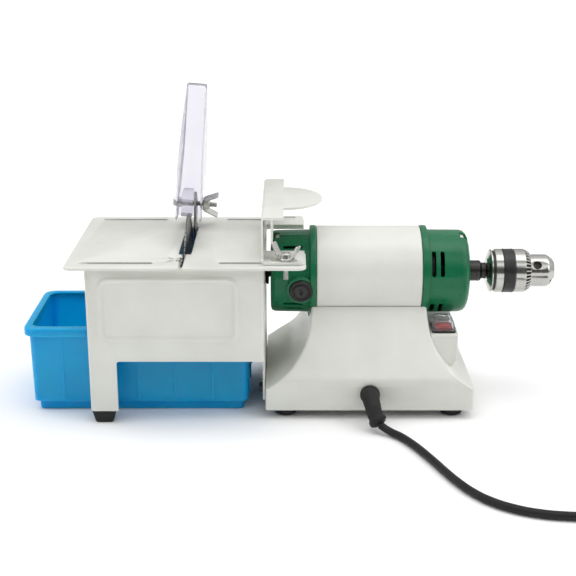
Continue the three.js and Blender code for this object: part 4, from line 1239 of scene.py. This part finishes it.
def make_carrier():
    """The bent steel strip that carries the guard, its foot under the table."""
    x, y, z = PIVOT
    side = rounded([(46.5, 144), (46.5, 156), (61.5, 164), (61.5, 176)], 2, 4, closed=False)
    side += arc((y, z), 11.5, 0, 144, 20)[1:]
    side += [(33, 162), (33, 144)]
    carrier = prism(side, x - 2, x, "x", edge=0.35)
    foot = block(x - 2, x + 14, 33.4, 46.1, 148.2, 150.2, 0.35)
    rivet = turned([(-0.4, 0), (-0.4, 2.7), (0.7, 2.2), (1.2, 1.0), (1.3, 0)], segments=32)
    join(carrier, foot)
    cut(carrier, moved(rod(x - 5, x + 4, 3.2), 0, y, z))
    join(carrier, moved(rivet, x, 40, 156))
    show(soften(carrier, 0.2), "hood_carrier", "steel", "guard_carrier", sharp=40)


# ---------- fence ----------
FENCE = {
    "left": -28, "lip": -17.5, "right": -8, "front": -80, "back": 74, "top": 195, "sheet": 2, "foot": 153.3,
}
FEET_FRONT, FEET_BACK, FEET_RIGHT = -86, 80, 11
FENCE_SCREW_X = -6


def make_fence():
    """A folded channel on two feet, with a half-round plate to push it by."""
    f = FENCE
    middle = f["sheet"] / 2
    left, foot, top = f["left"] + middle, f["foot"] + middle, f["top"] - middle
    section = ribbon([(FEET_RIGHT, foot), (left, foot), (left, top), (f["right"], top)], f["sheet"], 2.2)
    fence = prism(section, FEET_FRONT, FEET_BACK, "y")
    half_round = [(f["right"] + 36 * x, 41 * y - 3) for x, y in arc((0, 0), 1, -90, 90, 48)]
    root = f["right"] - 6
    plate = prism([(root, -44), *half_round, (root, 38)], f["top"] - 2, f["top"])
    lip = block(f["lip"] - 2, f["lip"], f["front"], f["back"], f["top"] - 23.5, f["top"] - 1, 0.4)
    join(fence, plate, lip)
    gap = rectangle(-25.6, 20, -46, 46, 1.5, 4)
    slots = [slot(-19, 4, y, SLOT_WIDTH) for y in (FRONT_SLOT_Y, BACK_SLOT_Y)]
    cut(
        fence,
        block(-30, -7, -90, f["front"], 157.5, 200),
        block(-30, -7, f["back"], 90, 157.5, 200),
        *[prism(outline, 150, 158) for outline in (gap, *slots)],
        *[foot_corner(y, side) for y, side in ((FEET_FRONT, -1), (FEET_BACK, 1))],
    )
    show(soften(fence, 0.5, 3, 40), "folded_fence", "white_enamel", "fence", body="fence", sharp=40)
    make_fence_screw()


def make_fence_screw():
    """A threaded rod up through the table's slot, with a nut below and a wing nut on the fence's foot."""
    nut_face = TABLE["top"] - TABLE["thick"] - 0.3
    screw = turned([
        (137, 0), (137.4, 1.8), (138, 2.4), *thread(138.2, 161.8, 2.4, 0.8), (162.7, 1.7), (162.7, 0),
    ], "z", 48)
    nut = turned([(nut_face - 4, 0), (nut_face - 4, 4.6), (nut_face, 4.6), (nut_face, 0)], "z", 6)
    dome = turned([
        (140, 0), (nut_face - 4.4, 3.5), (nut_face - 3.4, 4.7), (nut_face + 1, 4.7), (nut_face + 1, 0),
    ], "z", 48)
    combine(nut, "INTERSECT", [dome])
    join(screw, nut)
    moved(screw, FENCE_SCREW_X, FRONT_SLOT_Y)
    show(screw, "fence_screw_thread", "zinc_plate", "fence_screw", body="fence", sharp=35)
    wing = moved(wing_nut(), turn=(55, "X"))
    moved(wing, turn=(-90, "Y"))
    moved(wing, FENCE_SCREW_X, FRONT_SLOT_Y, FENCE["foot"] + FENCE["sheet"] + 0.3)
    show(wing, "fence_wing_nut_pressed", "zinc_plate", "fence_wing_nut", body="fence_nut", sharp=40)


def foot_corner(y, side):
    """Takes the square outer corner off a foot, leaving it round."""
    radius, past = 5, 2
    left, right = FEET_RIGHT - radius, FEET_RIGHT + past
    square = [(left, y + side * past), (right, y + side * past), (right, y - side * radius)]
    edge = arc((left, y - side * radius), radius, 0, side * 90, 10)
    return prism(edge + square, 150, 158)


# ---------- water tank ----------
TANK = {"left": -250, "right": -36, "front": -60, "back": 56, "rim": 84, "lip": 8, "wall": 2.2}


def make_tank():
    """A moulded tray: stepped floor, drawn walls with outside ribs, and a turned-down lip.
    Its levels are (height, how far in from the lip's outside, corner radius)."""
    left, right, front, back = sides = [TANK[side] for side in ("left", "right", "front", "back")]
    rim, wall = TANK["rim"], TANK["wall"]
    seat = rim - TANK["lip"]
    outer = stack(sides, [
        (0, 10.6, 4), (0.3, 10.1, 4), (1, 10, 4), (8, 9.7, 4), (8.5, 9.2, 4), (9, 6.4, 5), (9.6, 5.7, 5),
        (30, 5.3, 6), (seat + 5, 4.2, 8),
    ], 10)
    ribs = [
        block(x, x + 2, y, y + 3, 12, seat + 4, 0.6)
        for x in range(-216, -75, 35) for y in (front + 4.2, back - 7.2)
    ]
    side_ribs = [
        block(x, x + 3, y, y + 2, 12, seat + 4, 0.6)
        for y in (-41, -3, 35) for x in (left + 4.2, right - 7.2)
    ]
    rim_body = stack(sides, [
        (seat + 0.2, 0.2, 11), (seat + 0.5, 0.0, 11), (rim - 2.2, 0.0, 11), (rim - 1, 0.3, 11),
        (rim - 0.2, 1.2, 10.6), (rim, 2.2, 10.2), (rim, 6.6, 9),
    ], 10)
    cut(rim_body, stack(sides, [(seat - 2, 2.3, 10), (rim - 3.4, 2.3, 10), (rim - 2.4, 3.4, 9)], 10))
    join(rim_body, join(outer, *ribs, *side_ribs))
    cut(rim_body, stack(sides, [
        (3.2, 16, 4), (3.6, 13, 4), (9.2, 12.4, 4), (10.4, 9.2, 5), (11.6, 5.6 + wall, 5),
        (30, 5.2 + wall, 6), (seat, 4.8 + wall, 8), (rim - 1.4, 4.8 + wall, 8), (rim - 0.3, 7.2, 8.4),
        (rim + 2, 6.4, 9.8),
    ], 10))
    show(soften(rim_body, 0.6, 3, 30), "moulded_tank", "blue_plastic", "tank", body="tank", sharp=45)


# ---------- switch ----------
def make_switch():
    """A rocker in a bezel, under a clear splash boot."""
    sides = (SWITCH_X - 11, SWITCH_X + 11, SWITCH_Y - 13.5, SWITCH_Y + 13.5)
    face = POD_TOP + 0.3
    bezel = prism(rectangle(*sides, 2), face, face + 2, "z", edge=0.5)
    box = block(SWITCH_X - 9.2, SWITCH_X + 9.2, SWITCH_Y - 11.7, SWITCH_Y + 11.7, 56, face + 1, 0.6)
    join(bezel, box)
    cut(bezel, block(SWITCH_X - 7.9, SWITCH_X + 7.9, SWITCH_Y - 10, SWITCH_Y + 10, 64, 90, 0.4))
    show(soften(bezel, 0.25), "switch_bezel", "black_plastic", "switch_housing", sharp=40)

    side = rounded([(-9, 3), (-9, 7.4), (0, 4.6), (9, 7.4), (9, 3), (4, -4.5), (-4, -4.5)], 0.9, 5)
    rocker = prism(side, -7.5, 7.5, "x", edge=0.6, edge_steps=3)
    for y, z in ((-7.4, 6.95), (-6.0, 6.5), (-4.6, 6.05)):
        join(rocker, moved(rod(-4.5, 4.5, 0.5, segments=16, edge=0.3), 0, y, z))
    moved(rocker, turn=(-7, "X"))
    moved(rocker, SWITCH_X, SWITCH_Y, POD_TOP - 1.5)
    show(rocker, "rocker_button", "red_plastic", "rocker", body="rocker", sharp=45)

    boot = stack(sides, [
        (0, 0.2, 2.4), (0.3, 0, 2.4), (1.1, 0, 2.4), (1.5, 0.7, 2.4), (7.2, 1.6, 2.4), (8.2, 2.0, 2.6),
        (8.8, 2.8, 2.6), (9, 4.0, 2.2),
    ])
    cut(boot, stack(sides, [(-1, 1.7, 2), (6.6, 2.8, 2), (7.4, 3.4, 2), (7.8, 4.6, 1.6)]))
    moved(boot, z=face + 2.3)
    show(boot, "splash_boot", "clear_rubber", "switch_boot", sharp=45)


# ---------- what stays from the frame ----------
KEPT = {
    "base_plate": "zinc_plate",
    "capacitor": "aluminium_can",
    "stator_core": "laminations",
    "rotor_core": "laminations",
    "commutator": "copper",
    "cooling_fan": "black_plastic",
    "bearing_left": "lathe_steel",
    "bearing_right": "lathe_steel",
    "brush_front": "carbon",
    "brush_back": "carbon",
}


def finish_kept_nodes():
    """The inner pieces keep their CAD shape, with softened edges and their own finishes."""
    for node, material in KEPT.items():
        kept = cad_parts[node]
        dressed(kept, material)
        edges = kept.modifiers.new("edges", "BEVEL")
        edges.width = 0.0003
        edges.segments = 2
        edges.limit_method = "ANGLE"
        edges.angle_limit = math.radians(40)


# ---------- studio ----------
def make_studio():
    """A pale floor, a soft lamp on the right, and the room."""
    bpy.ops.mesh.primitive_circle_add(vertices=96, radius=14, fill_type="NGON", location=(0, 0, -0.0006))
    floor = bpy.context.object
    floor.name = "floor"
    Finish("floor_paper", (253, 253, 253), (251, 251, 251), (0.8, 0.9), Specular_IOR_Level=0.0).done()
    floor.data.materials.append(MATERIALS["floor_paper"])
    data = bpy.data.lights.new("side_lamp", "AREA")
    data.shape = "RECTANGLE"
    data.size, data.size_y = 0.5, 0.9
    data.energy = 2.5
    lamp = linked("side_lamp", data)
    lamp.location = (1.5, -0.9, 0.9)
    lamp.rotation_euler = (-lamp.location).to_track_quat("-Z", "Y").to_euler()
    make_room()
    bpy.context.scene.view_settings.view_transform = "Standard"


# The room's brightness round the shaft's direction, from the front horizon over the top to the
# back horizon: degrees, then brightness.
ROOM_BANDS = [
    (0, 0.12), (28, 0.12), (38, 0.6), (43, 1.4), (53, 1.4), (61, 0.5), (69, 0.7), (76, 2.4),
    (100, 2.4), (107, 1.3), (118, 1.0), (180, 0.35),
]
ROOM_STRENGTH = 0.98


def make_room():
    """Bands of light that run along the machine, level in the far ends of the room."""
    world = bpy.data.worlds.new("room")
    bpy.context.scene.world = world
    world.use_nodes = True
    tree = world.node_tree

    def maths(operation, *values):
        return wired(tree, "ShaderNodeMath", dict(enumerate(values)), operation=operation).outputs[0]

    def mixed(inputs):
        return wired(tree, "ShaderNodeMix", inputs, data_type="RGBA").outputs[MIX_RESULT]

    generated = wired(tree, "ShaderNodeTexCoord", {}).outputs["Generated"]
    way = wired(tree, "ShaderNodeSeparateXYZ", {"Vector": generated}).outputs
    turn = maths("ARCTAN2", way["Z"], maths("MULTIPLY", way["Y"], -1.0))
    ramp = wired(tree, "ShaderNodeValToRGB", {"Fac": maths("DIVIDE", turn, math.pi)})
    brightest = max(level for _, level in ROOM_BANDS)
    stops = ramp.color_ramp.elements
    while len(stops) < len(ROOM_BANDS):
        stops.new(0.5)
    for stop, (degrees, level) in zip(stops, ROOM_BANDS):
        stop.position = degrees / 180
        stop.color = (level / brightest, level / brightest, level / brightest, 1)
    aside = {"Value": maths("ABSOLUTE", way["X"]), "From Min": 0.75, "From Max": 0.97}
    fade = wired(tree, "ShaderNodeMapRange", aside, interpolation_type="SMOOTHSTEP").outputs["Result"]
    ends = mixed({"Factor": fade, MIX_A: ramp.outputs["Color"], MIX_B: (0.3, 0.3, 0.3, 1)})
    seen = wired(tree, "ShaderNodeLightPath", {}).outputs["Is Camera Ray"]
    background = tree.nodes["Background"]
    tree.links.new(mixed({"Factor": seen, MIX_A: ends, MIX_B: (1, 1, 1, 1)}), background.inputs["Color"])
    background.inputs["Strength"].default_value = ROOM_STRENGTH * brightest


# ---------- the whole scene ----------
make_camera()
lead = make_cord()
relief = make_strain_relief()
plug, plug_blades = make_plug()
tie = make_tie()
make_pedestal()
make_feet()
make_sleeve()
make_left_cap()
make_right_cap()
make_cap_screws()
make_brush_caps()
make_shaft()
make_blade()
make_arbor_nut()
make_chuck()
make_table()
make_cabinet()
make_guard()
make_fence()
make_tank()
make_switch()
finish_kept_nodes()
make_studio()
